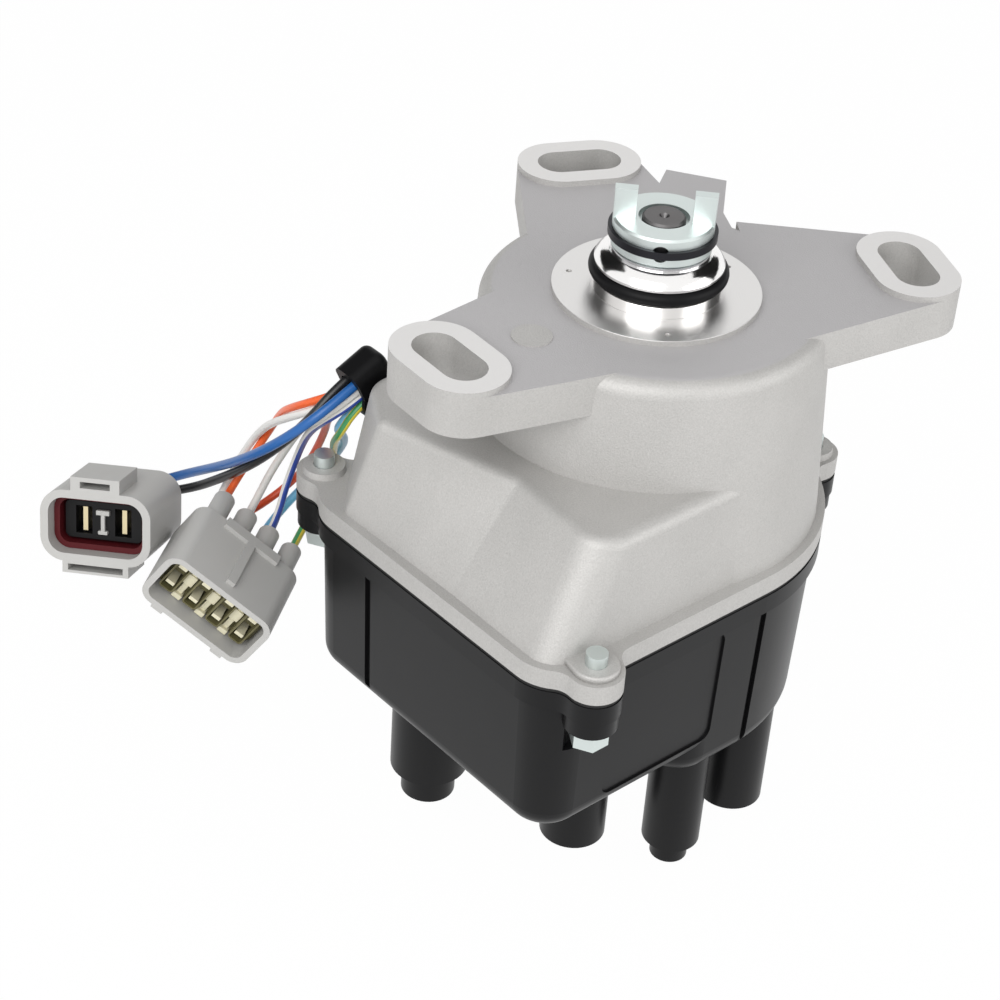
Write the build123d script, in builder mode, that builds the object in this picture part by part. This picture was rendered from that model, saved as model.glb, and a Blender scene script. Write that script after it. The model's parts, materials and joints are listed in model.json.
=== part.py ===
import os
from math import atan2, cos, degrees, hypot, pi, radians, sin, tan

from build123d import *

# Ignition distributor for a four-cylinder engine, all sizes in millimetres.
# The origin is where the shaft axis meets the machined mounting face. +Z runs
# along the shaft towards the engine, -Z towards the cap and its towers, and
# the ignition coil lies on the -X side.

os.makedirs("parts", exist_ok=True)

# Clearances
running_gap = 0.05      # radial, shaft in its bush
fit_gap = 0.03          # radial, a pressed piece in its bore
seat_gap = 0.1          # a piece beside the wall that carries it
screw_gap = 0.1         # radial, screw in its hole
air_gap = 0.6           # between pieces that pass each other

# Pilot collar, seat and seals
collar_radius = 15.0
collar_rim_z = 7.2
collar_top_z = 10.0
collar_top_radius = 12.0
seat_radius = 24.2
pad_height = 1.5        # machined faces stand this far above the cast plate
ring_section = 3.5      # O-ring cord diameter
ring_z = 4.75
groove_width = 3.8
groove_floor = 12.6

# Shaft, bearing, seal and bush
shaft_radius = 5.0
shaft_end_z = 18.2
bearing_radius = 11.0
bearing_width = 6.0
bearing_top_z = 2.0
race_wall = 1.7
ball_radius = 1.5
ball_count = 9
ball_groove_radius = 1.75
cage_half_wall = 0.35
seal_foot_z = 2.6
seal_width = 6.0
seal_wall = 1.2
bearing_relief_radius = 8.6   # clears the inner race below the bearing
relief_depth = 0.6
bush_radius = 7.0
bush_top_z = -10.0
bush_length = 13.0
hub_radius = 11.0
thrust_washer_radius = 9.0
thrust_washer_thickness = 1.0
rotor_seat_radius = 4.0
rotor_seat_length = 12.0
shaft_chamfer = 0.5
centre_mark_radius = 1.2

# Drive coupling
drive_angle = -46.2     # the lugs lie along this direction from +X
coupling_radius = 11.6
coupling_foot_z = 10.9
coupling_top_z = 18.0
coupling_recess_radius = 5.85
coupling_recess_depth = 1.2
lug_width = 5.2
lug_thickness = 2.6
lug_height = 7.0
lug_offset = 1.0        # the lugs stand this far to one side of the axis
retainer_z = 14.5
retainer_width = 1.9
retainer_radius = 12.5
retainer_depth = 0.8
pin_radius = 2.0
pin_depth = 0.4         # the pin's ends lie this far inside the retainer
pin_chamfer = 0.3
retainer_gap = 2.0
coupling_chamfer = 0.5

# Trigger wheels: name, first height, teeth, height and angle of the pickup beside it
wheel_radius = 17.0
wheel_thickness = 4.0
wheel_hub_radius = 9.0
tooth_depth = 3.0
trigger_tooth_width = 4.0
crank_tooth_width = 2.2
wheel_stack_top_z = -24.2
trigger_wheels = [("cylinder_wheel", -27.0, 1), ("top_centre_wheel", -33.0, 4), ("crank_wheel", -39.0, 24)]
wheel_stack_foot_z = -44.0
hub_gap = 1.0           # each hub stands this far above its wheel
pole_length = 2.6
pickup_overhang = 1.5
pickup_flange_length = 25.0
pickup_flange_width = 6.5
pickup_flange_thickness = 2.5
pickup_screw_offset = 9.4
pickup_angles = [0.0, -60.0, -120.0]
pickup_names = ["cylinder_pickup", "top_centre_pickup", "crank_pickup"]
pickup_width = 13.0
pickup_reach = 32.5
pickup_depth = 11.0
pole_width = 5.0
pickup_screw_radius = 1.5
pickup_screw_head_radius = 2.7
pickup_screw_head_height = 1.8

# Igniter module under the ceiling
igniter_half_width = 17.0
igniter_near = 19.5
igniter_depth = 9.0
igniter_height = 28.0
igniter_ear_reach = 5.0
igniter_plate = 3.0

# Rotor, its contact strip and screw
rotor_hub_radius = 9.0
rotor_foot_drop = 9.0       # below the cap's top face
rotor_seat_rise = 5.0       # the shaft's shoulder stands this far above the cap's top face
rotor_arm_width = 15.0
rotor_arm_reach = 27.0
rotor_arm_thickness = 5.0
rotor_tip_round = 2.0
strip_reach = 29.7
strip_width = 6.0
strip_thickness = 1.2
rotor_angle = 33.0
rotor_screw_radius = 1.8
rotor_screw_head_radius = 3.2
rotor_screw_rise = 8.0      # above the rotor's foot

# Flange plate with three slotted ears: angle and distance of each slot
plate_thickness = 10.0
slot_length = 21.2
slot_width = 10.6
ear_wall = 5.0
ears = [(64.7, 62.0), (-25.3, 62.4), (176.4, 58.4)]
plate_mark = (-36.5, 1.5)
plate_mark_radius = 4.7
plate_mark_height = 0.3
seat_marks = [(-12.2, 16.6), (19.8, -3.2), (-12.9, -17.2)]
seat_mark_radius = 0.7
seat_mark_depth = 0.4
arm_roots = [
    [(-10.0, 33.0), (30.0, 16.0)],
    [(6.0, -33.5), (39.0, 13.0)],
    [(-25.0, -22.5), (-28.0, 21.5)],
]
tab_corners = [(34.0, 8.0), (39.5, 18.0), (52.0, 29.5), (43.5, 42.3), (37.0, 38.0), (20.0, 25.0)]

# Drum and lower casing
drum_radius = 40.4      # at the top of the plate
drum_draft = 3.8        # degrees
drum_lip = 4.0
housing_height = 60.0
rim_thickness = 5.0
case_side = 46.0        # half width of the D-shaped rim, and the radius of its round end
case_reach = 66.8       # from the shaft axis to the flat end over the coil
case_corner = 12.0
shoulder_z = -28.5      # top of the coil pocket beside the drum
# the pocket's corners, in from the flat end and along it: back, end of the end wall, its bend, front
pocket_foot = [(12.8, 0.0), (2.2, 31.0), (2.8, -8.0), (2.2, 0.0)]
pocket_top = [(16.8, 0.0), (7.8, 26.0), (18.3, -11.0), (15.3, 0.0)]
pocket_side_step = 1.0
pocket_corner = 8.0
pocket_bend = 3.0
casing_wall = 3.5
drum_wall = 4.5
rim_wall = 3.5           # flat that the gasket lies on
shield_z = -48.4        # ledge that the dust shield lies against
shield_thickness = 1.6
shield_cut_inset = 30.3   # from the flat end
shield_cut_x = shield_cut_inset - case_reach
shield_bore = 12.0
ledge_width = 1.3
ceiling_z = -14.0       # inside of the drum's top

# Cap
gasket_thickness = 1.0
gasket_inset = 0.3
cap_lip = 5.0
cap_lip_step = 1.3
cap_depth = 44.0        # over the coil
rotor_well_depth = 6.0  # the round end is this much deeper
rotor_well_radius = 43.0
cap_wall = 3.0
cap_inner_fillet = 3.5
ear_root_share = 0.9    # the ear's web starts this share of the way out
ear_web_radius = 6.2
cap_draft = 1.5         # degrees
cap_foot_fillet = 6.0
cap_well_reach = 24.0   # the deep round end stops this far past the axis towards the coil
cap_groove_width = 2.0
cap_groove_depth = 1.2
cap_groove_top = 6.0    # grooves and panel start this far below the cap's top
end_groove_y = 20.5
end_groove_length = 34.0
side_groove_x = 1.5
side_groove_length = 43.0
cap_panel = (35.0, 33.0)
cap_panel_x = -28.5
cap_panel_depth = 0.6
cap_panel_corner = 3.0
socket_length = 11.0
terminal_bore_length = 9.0
terminal_bore_step = 0.9  # the bore is this much narrower round the terminal
# towers: place, then radius and length of its base, of its tip, and radius of its socket;
# lengths are from the floor over the coil
towers = [
    ((-46.4, 16.9), (9.8, 26.5), (6.85, 34.7), 4.5),
    ((-28.8, -18.6), (8.2, 31.0), (8.2, 32.4), 4.5),
    ((-6.8, -31.9), (7.3, 37.0), (4.75, 42.9), 3.0),
    ((14.2, -31.3), (8.2, 32.0), (8.2, 33.6), 4.5),
]

# Ignition coil on two posts in the pocket
coil_ear_inset = 19.8   # from the flat end
coil_ears = [(coil_ear_inset - case_reach, -28.0), (coil_ear_inset - case_reach, 31.0)]
coil_ear_height = 4.0   # above the casing's lower face
coil_ear_z = coil_ear_height - housing_height
coil_ear_radius = 4.2
coil_ear_thickness = 4.0
coil_screw_radius = 2.0
coil_screw_grip = 7.0
coil_screw_head_radius = 3.6
coil_screw_head_height = 2.6

coil_inset = 16.6
coil_middle = (coil_inset - case_reach, 2.0)
coil_width = 19.0
coil_length = 46.0
coil_depth = 41.0
core_inset = 21.3
core_middle_x = core_inset - case_reach
core_width = 9.0
core_length = 34.0
core_height = 16.0

bend_share = 0.45       # of the shorter run, the part of it that a wire's arc takes

# Grommet in the back wall of the pocket, with a long mouth turned down towards the wires
grommet_neck = 4.6
grommet_neck_length = 8.0
grommet_inset = 22.8    # from the flat end
grommet_hole_x = grommet_inset - case_reach
grommet_hole_z = -37.0
grommet_hood = (-5.8, 1.0, 1.0)     # from the hole in the casing's side to the middle of the mouth
grommet_mouth = (
    grommet_hole_x + grommet_hood[0], case_side + grommet_hood[1], grommet_hole_z + grommet_hood[2]
)
grommet_flange = 1.5
grommet_flange_length = 3.0
grommet_neck_start = 2.0
grommet_facing = (-0.91, 0.0, -0.415)
grommet_width = 9.0
grommet_height = 16.0
grommet_length = 10.0
grommet_round = 3.0
mouth_width = 6.4
mouth_height = 12.6
mouth_depth = 6.0

# Two-way and eight-way connectors: middle of the open face, where it looks, and its width
two_way_face = (-103.8, 78.0, -70.7)
two_way_facing = (-0.767, -0.566, 0.302)
two_way_across = (0.612, -0.787, 0.079)
two_way_size = (28.0, 18.0)
two_way_depth = 23.0
two_way_round = 6.0
two_way_wall = 2.0
two_way_cavity = 15.0
two_way_pitch = 10.0
two_way_boss = 3.2
two_way_boss_length = 2.0
seal_band = 3.0         # sealing ring's width against the shell
two_way_latch_size = (12.4, 7.0)
two_way_latch_length = 12.6
two_way_latch_slot = (7.6, 1.6)
two_way_loop_size = (16.8, 3.0)
two_way_loop_wall = 1.4
two_way_loop_length = 11.5
two_way_core_size = (19.5, 9.4)
two_way_core_round = 1.4
blade_room = (3.0, 1.0)  # added to a blade's size for the slot round it
two_way_core_length = 9.0
blade_size = (1.2, 6.0)
blade_length = 8.0
eight_way_face = (-91.4, 49.5, -83.7)
eight_way_facing = (-0.80, -0.60, 0.0)
eight_way_across = (0.489, -0.653, -0.569)
eight_way_size = (31.0, 17.0)
eight_way_depth = 22.0
eight_way_round = 4.0
eight_way_wall = 1.6
eight_way_cavity = 11.0
eight_way_pitch = 7.0
eight_way_rows = (5.6, -1.4)    # height of the two rows of wires at the back
eight_way_boss = 2.7
eight_way_boss_length = 9.0
eight_way_rib = (2.2, 2.4)
eight_way_rib_start = 3.0
eight_way_bar = (16.0, 2.4)
eight_way_bar_length = 3.0
eight_way_feet = [-9.0, 9.0]
eight_way_foot = (3.2, 1.8)
eight_way_foot_length = 4.0
terminal_room = (1.4, 2.6)  # added to a terminal's size for the slot round it
insert_length = 4.0
terminal_size = (2.3, 1.0)
terminal_length = 7.0
terminal_rows = (3.0, -3.0)

# Terminals inside the cap
electrode_distance = 33.5
electrode_angles = [-147.0, -57.0, 33.0, 123.0]
electrode_radius = 3.0
electrode_drop = 0.5     # below the rotor's foot
electrode_post_radius = 4.5
electrode_length = 10.0
brush_radius = 2.2
brush_length = 8.0
brush_boss_radius = 5.0
brush_boss_drop = 4.0    # below the rotor's foot
brush_bore_length = 13.0
brush_travel = 2.0
spring_wire = 0.5
spring_turns = 5
terminal_sleeve = 8.5
terminal_base = 1.5
terminal_wall = 0.8

# Cap screws through three ears of rim, gasket and cap
# screw ears: two by the corners of the flat end, in from it and out from the sides, and one
# on the round end, at an angle and out from the round
corner_ears = [(11.3, -1, 1.0), (9.3, 1, 2.3)]
round_ear_angle = -18.5
round_ear_out = 2.3
ear_places = [(ear_in - case_reach, side * (case_side + ear_out)) for ear_in, side, ear_out in corner_ears]
ear_places.append((
    (case_side + round_ear_out) * cos(radians(round_ear_angle)),
    (case_side + round_ear_out) * sin(radians(round_ear_angle)),
))
ear_radius = 6.6
ear_blend = 5.0         # hollow between ear and rim
ear_pad_height = 1.6    # raised flat round the tip of each cap screw
ear_pad_radius = 5.4
cap_ear_height = 9.3
screw_radius = 2.5
screw_head_height = 5.0
screw_head_across = 8.0
screw_washer_radius = 5.0
screw_washer_thickness = 1.2
screw_relief = 0.5      # room round the washer in the cap's wall
screw_relief_depth = 9.0
screw_tip_height = 4.5   # above the rim

cap_top_z = -housing_height - gasket_thickness
cap_floor_z = cap_top_z - cap_depth
well_floor_z = cap_floor_z - rotor_well_depth
rim_top_z = -housing_height + rim_thickness
screw_tip_z = rim_top_z + screw_tip_height
rotor_seat_z = cap_top_z + rotor_seat_rise
rotor_foot_z = cap_top_z - rotor_foot_drop
rotor_screw_z = rotor_foot_z + rotor_screw_rise
electrode_top_z = rotor_foot_z - electrode_drop
electrode_post_z = electrode_top_z - electrode_length
brush_boss_z = rotor_foot_z - brush_boss_drop
brush_bore_floor_z = brush_boss_z - brush_bore_length
plate_top_z = -pad_height
plate_foot_z = plate_top_z - plate_thickness
standing = (Align.CENTER, Align.CENTER, Align.MIN)
hanging = (Align.CENTER, Align.CENTER, Align.MAX)


def drum_radius_at(height):
    """Outer radius of the drum at a height, from its draft"""
    return drum_radius + (plate_top_z - height) * tan(radians(drum_draft))


def polar(angle, radius):
    """Point at an angle and a distance from the shaft axis"""
    return (radius * cos(radians(angle)), radius * sin(radians(angle)))


def case_face(inset, height, reach=case_reach):
    """D-shaped plan of rim, gasket and cap, drawn in from the rim by the inset"""
    side = case_side - inset
    reach = reach - inset
    corner = case_corner - inset
    with BuildSketch(Plane.XY.offset(height)) as plan:
        with BuildLine():
            CenterArc((0, 0), side, -90, 180)
            Line((0, side), (corner - reach, side))
            CenterArc((corner - reach, side - corner), corner, 90, 90)
            Line((-reach, side - corner), (-reach, corner - side))
            CenterArc((corner - reach, corner - side), corner, 180, 90)
            Line((corner - reach, -side), (0, -side))
        make_face()
    return plan.sketch


def case_plan(inset, height):
    """Plan of rim, gasket and cap lip with the three screw ears blended in"""
    radius = ear_radius - inset
    with BuildSketch(Plane.XY.offset(height)) as plan:
        add(case_face(inset, 0))
        for x, y in ear_places:
            # the circle's seam points inwards, so it isn't on the outline
            with Locations(Location((x, y, 0), (0, 0, degrees(atan2(-y, -x))))):
                Circle(radius)
        joints = [
            corner
            for corner in plan.vertices()
            for x, y in ear_places
            if abs(hypot(corner.X - x, corner.Y - y) - radius) < 0.01
        ]
        fillet(joints, ear_blend)
    return plan.sketch


def pocket_face(height, inset):
    """Plan of the coil pocket at a height: its end wall is bent in two faces"""
    share = (height - rim_top_z) / (shoulder_z - rim_top_z)
    side = drum_radius_at(height) - pocket_side_step - inset
    back, turn, middle, front = [
        (foot_in + share * (top_in - foot_in) + inset - case_reach, foot_y + share * (top_y - foot_y))
        for (foot_in, foot_y), (top_in, top_y) in zip(pocket_foot, pocket_top)
    ]
    with BuildSketch(Plane.XY.offset(height)) as plan:
        with BuildLine():
            Polyline(
                (-4, side), (back[0], side), turn, middle, (front[0], -side), (-4, -side), close=True
            )
        make_face()
    return plan.sketch


def slot_centres(angle, distance, spread):
    """Two points either side of a slot's middle, across the line to the axis"""
    x, y = polar(angle, distance)
    dx, dy = polar(angle + 90, spread)
    return [(x - dx, y - dy), (x + dx, y + dy)]


def ring(outer, inner, low, high):
    """Plain ring or tube about the shaft axis"""
    with BuildPart(mode=Mode.PRIVATE) as body:
        with BuildSketch(Plane.XY.offset(low)):
            Circle(outer)
            if inner > 0:
                Circle(inner, mode=Mode.SUBTRACT)
        extrude(amount=high - low)
    return body.part


def finish(name, piece):
    """Label a piece, write its file and print its size"""
    piece.label = name
    export_step(piece, f"parts/{name}.step")
    print(f"{name:20s} {len(piece.solids())} solids {piece.volume:10.1f} mm3")


slot_half_run = (slot_length - slot_width) / 2
shield_radius = drum_radius_at(shield_z) - drum_wall + ledge_width
pad_radius = slot_width / 2 + ear_wall

wall_y = drum_radius_at(grommet_hole_z) - pocket_side_step
grommet_hole_plane = Plane(
    origin=(grommet_hole_x, wall_y + 1, grommet_hole_z), x_dir=(-1, 0, 0), z_dir=(0, 1, 0)
)

# Coil pocket: a tapered box, rounded at its corners and its shoulder
with BuildPart() as coil_pocket:
    loft(sections=[pocket_face(rim_top_z, 0), pocket_face(shoulder_z, 0)], ruled=True)
    slanted = coil_pocket.edges().filter_by(lambda edge: abs(edge.tangent_at(0.5).Z) > 0.5)
    front_corner, wall_bend, wall_turn, back_corner = slanted.sort_by(Axis.X)[:4].sort_by(Axis.Y)
    fillet([front_corner, back_corner], pocket_corner)
    fillet([wall_bend, wall_turn], pocket_bend)
    top_edges = coil_pocket.faces().sort_by(Axis.Z)[-1].edges()
    fillet(top_edges.filter_by(lambda edge: edge.center().X < -5), pocket_bend)

# Housing: flange arms first, then the drum, the coil pocket and the rim
with BuildPart() as housing:
    with BuildSketch(Plane.XY.offset(plate_foot_z)):
        Circle(drum_radius - drum_lip)
    extrude(amount=plate_thickness)
    for (angle, distance), roots in zip(ears, arm_roots):
        with BuildSketch(Plane.XY.offset(plate_foot_z)) as arm:
            with Locations(*slot_centres(angle, distance, slot_half_run)):
                Circle(pad_radius)
            with BuildLine():
                Line(*roots)
            make_hull()
        extrude(amount=plate_thickness)
    with BuildSketch(Plane.XY.offset(plate_foot_z)) as tab:
        with BuildLine():
            Polyline(*tab_corners, close=True)
        make_face()
    extrude(amount=plate_thickness)
    # drum with its rounded top lip
    with BuildSketch(Plane.XZ) as drum_profile:
        with BuildLine():
            wall = FilletPolyline(
                (0, plate_top_z), (drum_radius, plate_top_z), (drum_radius_at(rim_top_z), rim_top_z),
                radius=drum_lip,
            )
            Polyline(wall @ 1, (0, rim_top_z), wall @ 0)
        make_face()
    revolve(axis=Axis.Z)
    add(coil_pocket.part)
    # rim with its three ears
    extrude(case_plan(0, -housing_height), amount=rim_thickness)
    with BuildSketch(Plane.XY.offset(rim_top_z)):
        with Locations(*ear_places):
            Circle(ear_pad_radius)
    extrude(amount=ear_pad_height, taper=12)
    # raised machined faces
    for angle, distance in ears:
        with BuildSketch(Plane.XY.offset(plate_top_z)):
            with Locations(*slot_centres(angle, distance, slot_half_run)):
                Circle(pad_radius)
            make_hull()
        extrude(amount=pad_height)
    with BuildSketch(Plane.XY.offset(plate_top_z)):
        Circle(seat_radius)
    extrude(amount=pad_height)
    with BuildSketch(Plane.XY.offset(plate_top_z)):
        with Locations(plate_mark):
            Circle(plate_mark_radius)
    extrude(amount=plate_mark_height)
    with BuildSketch(Plane.XY):
        with Locations(*seat_marks):
            Circle(seat_mark_radius)
    extrude(amount=-seat_mark_depth, mode=Mode.SUBTRACT)
    # pilot collar with a hollowed shoulder and the O-ring groove
    with BuildSketch(Plane.XZ):
        with BuildLine():
            Polyline((collar_top_radius, collar_top_z), (0, collar_top_z), (0, 0), (collar_radius, 0),
                     (collar_radius, collar_rim_z))
            RadiusArc((collar_radius, collar_rim_z), (collar_top_radius, collar_top_z), -6)
        make_face()
    revolve(axis=Axis.Z)
    groove = ring(collar_radius + 2, groove_floor, ring_z - groove_width / 2, ring_z + groove_width / 2)
    add(groove, mode=Mode.SUBTRACT)
    # slots in the ears
    for angle, distance in ears:
        with BuildSketch(Plane.XY):
            with Locations(*slot_centres(angle, distance, slot_half_run)):
                Circle(slot_width / 2)
            make_hull()
        extrude(amount=-pad_height - plate_thickness - 1, mode=Mode.SUBTRACT)
    # inside of the drum, stepped out below the dust shield's ledge
    with BuildSketch(Plane.XZ):
        with BuildLine():
            Polyline(
                (0, ceiling_z),
                (drum_radius_at(ceiling_z) - drum_wall, ceiling_z),
                (drum_radius_at(shield_z) - drum_wall, shield_z),
                (shield_radius + seat_gap, shield_z),
                (shield_radius + seat_gap, -housing_height),
                (0, -housing_height),
                close=True,
            )
        make_face()
    revolve(axis=Axis.Z, mode=Mode.SUBTRACT)
    # inside of the coil pocket
    loft(
        sections=[
            pocket_face(-housing_height, casing_wall), pocket_face(shoulder_z - casing_wall, casing_wall)
        ],
        ruled=True,
        mode=Mode.SUBTRACT,
    )
    # hub for the lower bush, and the posts that carry the coil
    with BuildSketch(Plane.XY.offset(ceiling_z)):
        Circle(hub_radius)
    extrude(amount=bush_top_z - bush_length - ceiling_z)
    with BuildSketch(Plane.XY.offset(coil_ear_z)):
        with Locations(*coil_ears):
            Circle(coil_ear_radius)
    extrude(amount=shoulder_z - casing_wall + 1 - coil_ear_z)
    with BuildSketch(Plane.XY.offset(coil_ear_z)):
        with Locations(*coil_ears):
            Circle(coil_screw_radius + screw_gap)
    extrude(amount=coil_screw_grip + 1, mode=Mode.SUBTRACT)
    # bores for seal, bearing, shaft and bush
    add(ring(bearing_radius + fit_gap, 0, bearing_top_z - bearing_width, collar_top_z), mode=Mode.SUBTRACT)
    add(ring(bearing_relief_radius, 0, bearing_top_z - bearing_width - relief_depth, 0), mode=Mode.SUBTRACT)
    add(ring(bush_radius + fit_gap, 0, bush_top_z - bush_length, 0), mode=Mode.SUBTRACT)
    # holes for the cap screws and for the grommet
    with BuildSketch(Plane.XY.offset(-housing_height)):
        with Locations(*ear_places):
            Circle(screw_radius + screw_gap)
    extrude(amount=rim_thickness + ear_pad_height, mode=Mode.SUBTRACT)
    with BuildSketch(grommet_hole_plane):
        Circle(grommet_neck)
    extrude(amount=-grommet_neck_length, mode=Mode.SUBTRACT)

finish("housing", housing.part)

# O-ring in the collar's groove, as squeezed by the bore that the collar sits in
with BuildPart() as pilot_o_ring:
    with BuildSketch(Plane.XZ):
        with Locations((groove_floor + seat_gap + ring_section / 2, ring_z)):
            Circle(ring_section / 2)
        with Locations((collar_radius + ring_section / 2, ring_z)):
            Rectangle(ring_section, ring_section, mode=Mode.SUBTRACT)
    revolve(axis=Axis.Z)
finish("pilot_o_ring", pilot_o_ring.part)

# Ball bearing: two grooved races, nine balls and their cage
bearing_middle_z = bearing_top_z - bearing_width / 2
pitch_radius = (bearing_radius + shaft_radius) / 2
with BuildPart() as bearing_outer_race:
    add(ring(bearing_radius, bearing_radius - race_wall, bearing_top_z - bearing_width, bearing_top_z))
    with BuildSketch(Plane.XZ):
        with Locations((pitch_radius, bearing_middle_z)):
            Circle(ball_groove_radius)
    revolve(axis=Axis.Z, mode=Mode.SUBTRACT)
finish("bearing_outer_race", bearing_outer_race.part)

with BuildPart() as bearing_inner_race:
    add(ring(shaft_radius + race_wall, shaft_radius + fit_gap, bearing_top_z - bearing_width, bearing_top_z))
    with BuildSketch(Plane.XZ):
        with Locations((pitch_radius, bearing_middle_z)):
            Circle(ball_groove_radius)
    revolve(axis=Axis.Z, mode=Mode.SUBTRACT)
finish("bearing_inner_race", bearing_inner_race.part)

with BuildPart() as bearing_balls:
    with Locations(Plane.XY.offset(bearing_middle_z)):
        with PolarLocations(pitch_radius, ball_count):
            Sphere(ball_radius)
finish("bearing_balls", bearing_balls.part)

with BuildPart() as bearing_cage:
    add(ring(pitch_radius + cage_half_wall, pitch_radius - cage_half_wall,
             bearing_middle_z - ball_radius - cage_half_wall, bearing_middle_z + cage_half_wall))
    with Locations(Plane.XY.offset(bearing_middle_z)):
        with PolarLocations(pitch_radius, ball_count):
            Sphere(ball_radius + seat_gap, mode=Mode.SUBTRACT)
finish("bearing_cage", bearing_cage.part)

# Shaft seal above the bearing: outer case, thin web and a lip on the shaft
with BuildPart() as shaft_seal:
    with BuildSketch(Plane.XZ):
        with BuildLine():
            Polyline(
                (bearing_radius, seal_foot_z),
                (bearing_radius, seal_foot_z + seal_width),
                (shaft_radius + seal_wall, seal_foot_z + seal_width),
                (shaft_radius + running_gap, seal_foot_z + seal_width - seal_wall),
                (shaft_radius + running_gap, seal_foot_z + seal_wall),
                (shaft_radius + seal_wall, seal_foot_z + seal_wall),
                (shaft_radius + seal_wall, seal_foot_z + seal_width - 2 * seal_wall),
                (bearing_radius - seal_wall, seal_foot_z + seal_width - seal_wall),
                (bearing_radius - seal_wall, seal_foot_z),
                close=True,
            )
        make_face()
    revolve(axis=Axis.Z)
finish("shaft_seal", shaft_seal.part)

# Bush and thrust washer below it
finish("lower_bush", ring(bush_radius, shaft_radius + running_gap, bush_top_z - bush_length, bush_top_z))
thrust_washer_top_z = wheel_stack_top_z + thrust_washer_thickness
finish(
    "thrust_washer",
    ring(thrust_washer_radius, shaft_radius + fit_gap, wheel_stack_top_z, thrust_washer_top_z),
)

# Shaft, with its seat for the rotor, the hole for the pin and a centre mark
pin_direction = drive_angle - 90
pin_plane = Plane(
    origin=(0, 0, retainer_z),
    x_dir=(0, 0, 1),
    z_dir=(cos(radians(pin_direction)), sin(radians(pin_direction)), 0),
)
rotor_plane = Plane(
    origin=(0, 0, rotor_screw_z),
    x_dir=(0, 0, 1),
    z_dir=(-cos(radians(rotor_angle)), -sin(radians(rotor_angle)), 0),
)
with BuildPart() as distributor_shaft:
    add(ring(shaft_radius, 0, rotor_seat_z, shaft_end_z))
    chamfer(distributor_shaft.edges().group_by(Axis.Z)[-1], shaft_chamfer)
    add(ring(rotor_seat_radius, 0, rotor_seat_z - rotor_seat_length, rotor_seat_z))
    with BuildSketch(Plane.XY.offset(shaft_end_z)):
        Circle(centre_mark_radius)
    extrude(amount=-centre_mark_radius, taper=40, mode=Mode.SUBTRACT)
    with BuildSketch(pin_plane):
        Circle(pin_radius)
    extrude(amount=coupling_radius, both=True, mode=Mode.SUBTRACT)
    with BuildSketch(rotor_plane):
        Circle(rotor_screw_radius + fit_gap)
    extrude(amount=rotor_seat_radius, mode=Mode.SUBTRACT)
finish("distributor_shaft", distributor_shaft.part)

# Drive coupling with two offset lugs, its pin and the ring that keeps the pin in
lug_plane = Plane(
    origin=(0, 0, coupling_top_z),
    x_dir=(cos(radians(drive_angle)), sin(radians(drive_angle)), 0),
    z_dir=(0, 0, 1),
)
with BuildPart() as drive_coupling:
    add(ring(coupling_radius, 0, coupling_foot_z, coupling_top_z))
    chamfer(drive_coupling.edges(), coupling_chamfer)
    with BuildSketch(lug_plane.offset(-coupling_chamfer)):
        with Locations((coupling_radius, -lug_offset), (-coupling_radius, -lug_offset)):
            Rectangle(2 * lug_width, lug_thickness)
        Circle(coupling_radius, mode=Mode.INTERSECT)
    extrude(amount=lug_height + coupling_chamfer)
    add(ring(shaft_radius + fit_gap, 0, coupling_foot_z, coupling_top_z), mode=Mode.SUBTRACT)
    recess = ring(coupling_recess_radius, 0, coupling_top_z - coupling_recess_depth, coupling_top_z)
    add(recess, mode=Mode.SUBTRACT)
    add(
        ring(coupling_radius + 1, coupling_radius - retainer_depth,
             retainer_z - retainer_width / 2, retainer_z + retainer_width / 2),
        mode=Mode.SUBTRACT,
    )
    with BuildSketch(pin_plane):
        Circle(pin_radius)
    extrude(amount=coupling_radius + 1, both=True, mode=Mode.SUBTRACT)
finish("drive_coupling", drive_coupling.part)

with BuildPart() as coupling_pin:
    with BuildSketch(pin_plane):
        Circle(pin_radius - fit_gap)
    extrude(amount=coupling_radius - retainer_depth - pin_depth, both=True)
    chamfer(coupling_pin.edges(), pin_chamfer)
finish("coupling_pin", coupling_pin.part)

with BuildPart() as pin_retainer:
    add(ring(retainer_radius, coupling_radius - retainer_depth + fit_gap,
             retainer_z - retainer_width / 2 + fit_gap, retainer_z + retainer_width / 2 - fit_gap))
    with BuildSketch(lug_plane):
        with Locations((0, retainer_radius)):
            Rectangle(retainer_gap, 4)
    extrude(amount=-(coupling_top_z - coupling_foot_z), mode=Mode.SUBTRACT)
finish("pin_retainer", pin_retainer.part)

# Trigger wheels on the shaft, hub against hub
hub_limits = [
    wheel_stack_top_z, trigger_wheels[1][1] + hub_gap, trigger_wheels[2][1] + hub_gap, wheel_stack_foot_z
]
for index, (name, top, teeth) in enumerate(trigger_wheels):
    with BuildPart() as wheel:
        with BuildSketch(Plane.XY.offset(top)):
            Circle(wheel_radius - tooth_depth)
            with PolarLocations(0, teeth):
                with Locations((wheel_radius - tooth_depth, 0)):
                    Rectangle(2 * tooth_depth, crank_tooth_width if teeth > 4 else trigger_tooth_width)
            Circle(wheel_radius, mode=Mode.INTERSECT)
        extrude(amount=-wheel_thickness)
        add(ring(wheel_hub_radius, 0, hub_limits[index + 1], hub_limits[index]))
        add(ring(shaft_radius + fit_gap, 0, hub_limits[index + 1], hub_limits[index]), mode=Mode.SUBTRACT)
    finish(name, wheel.part)

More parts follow.
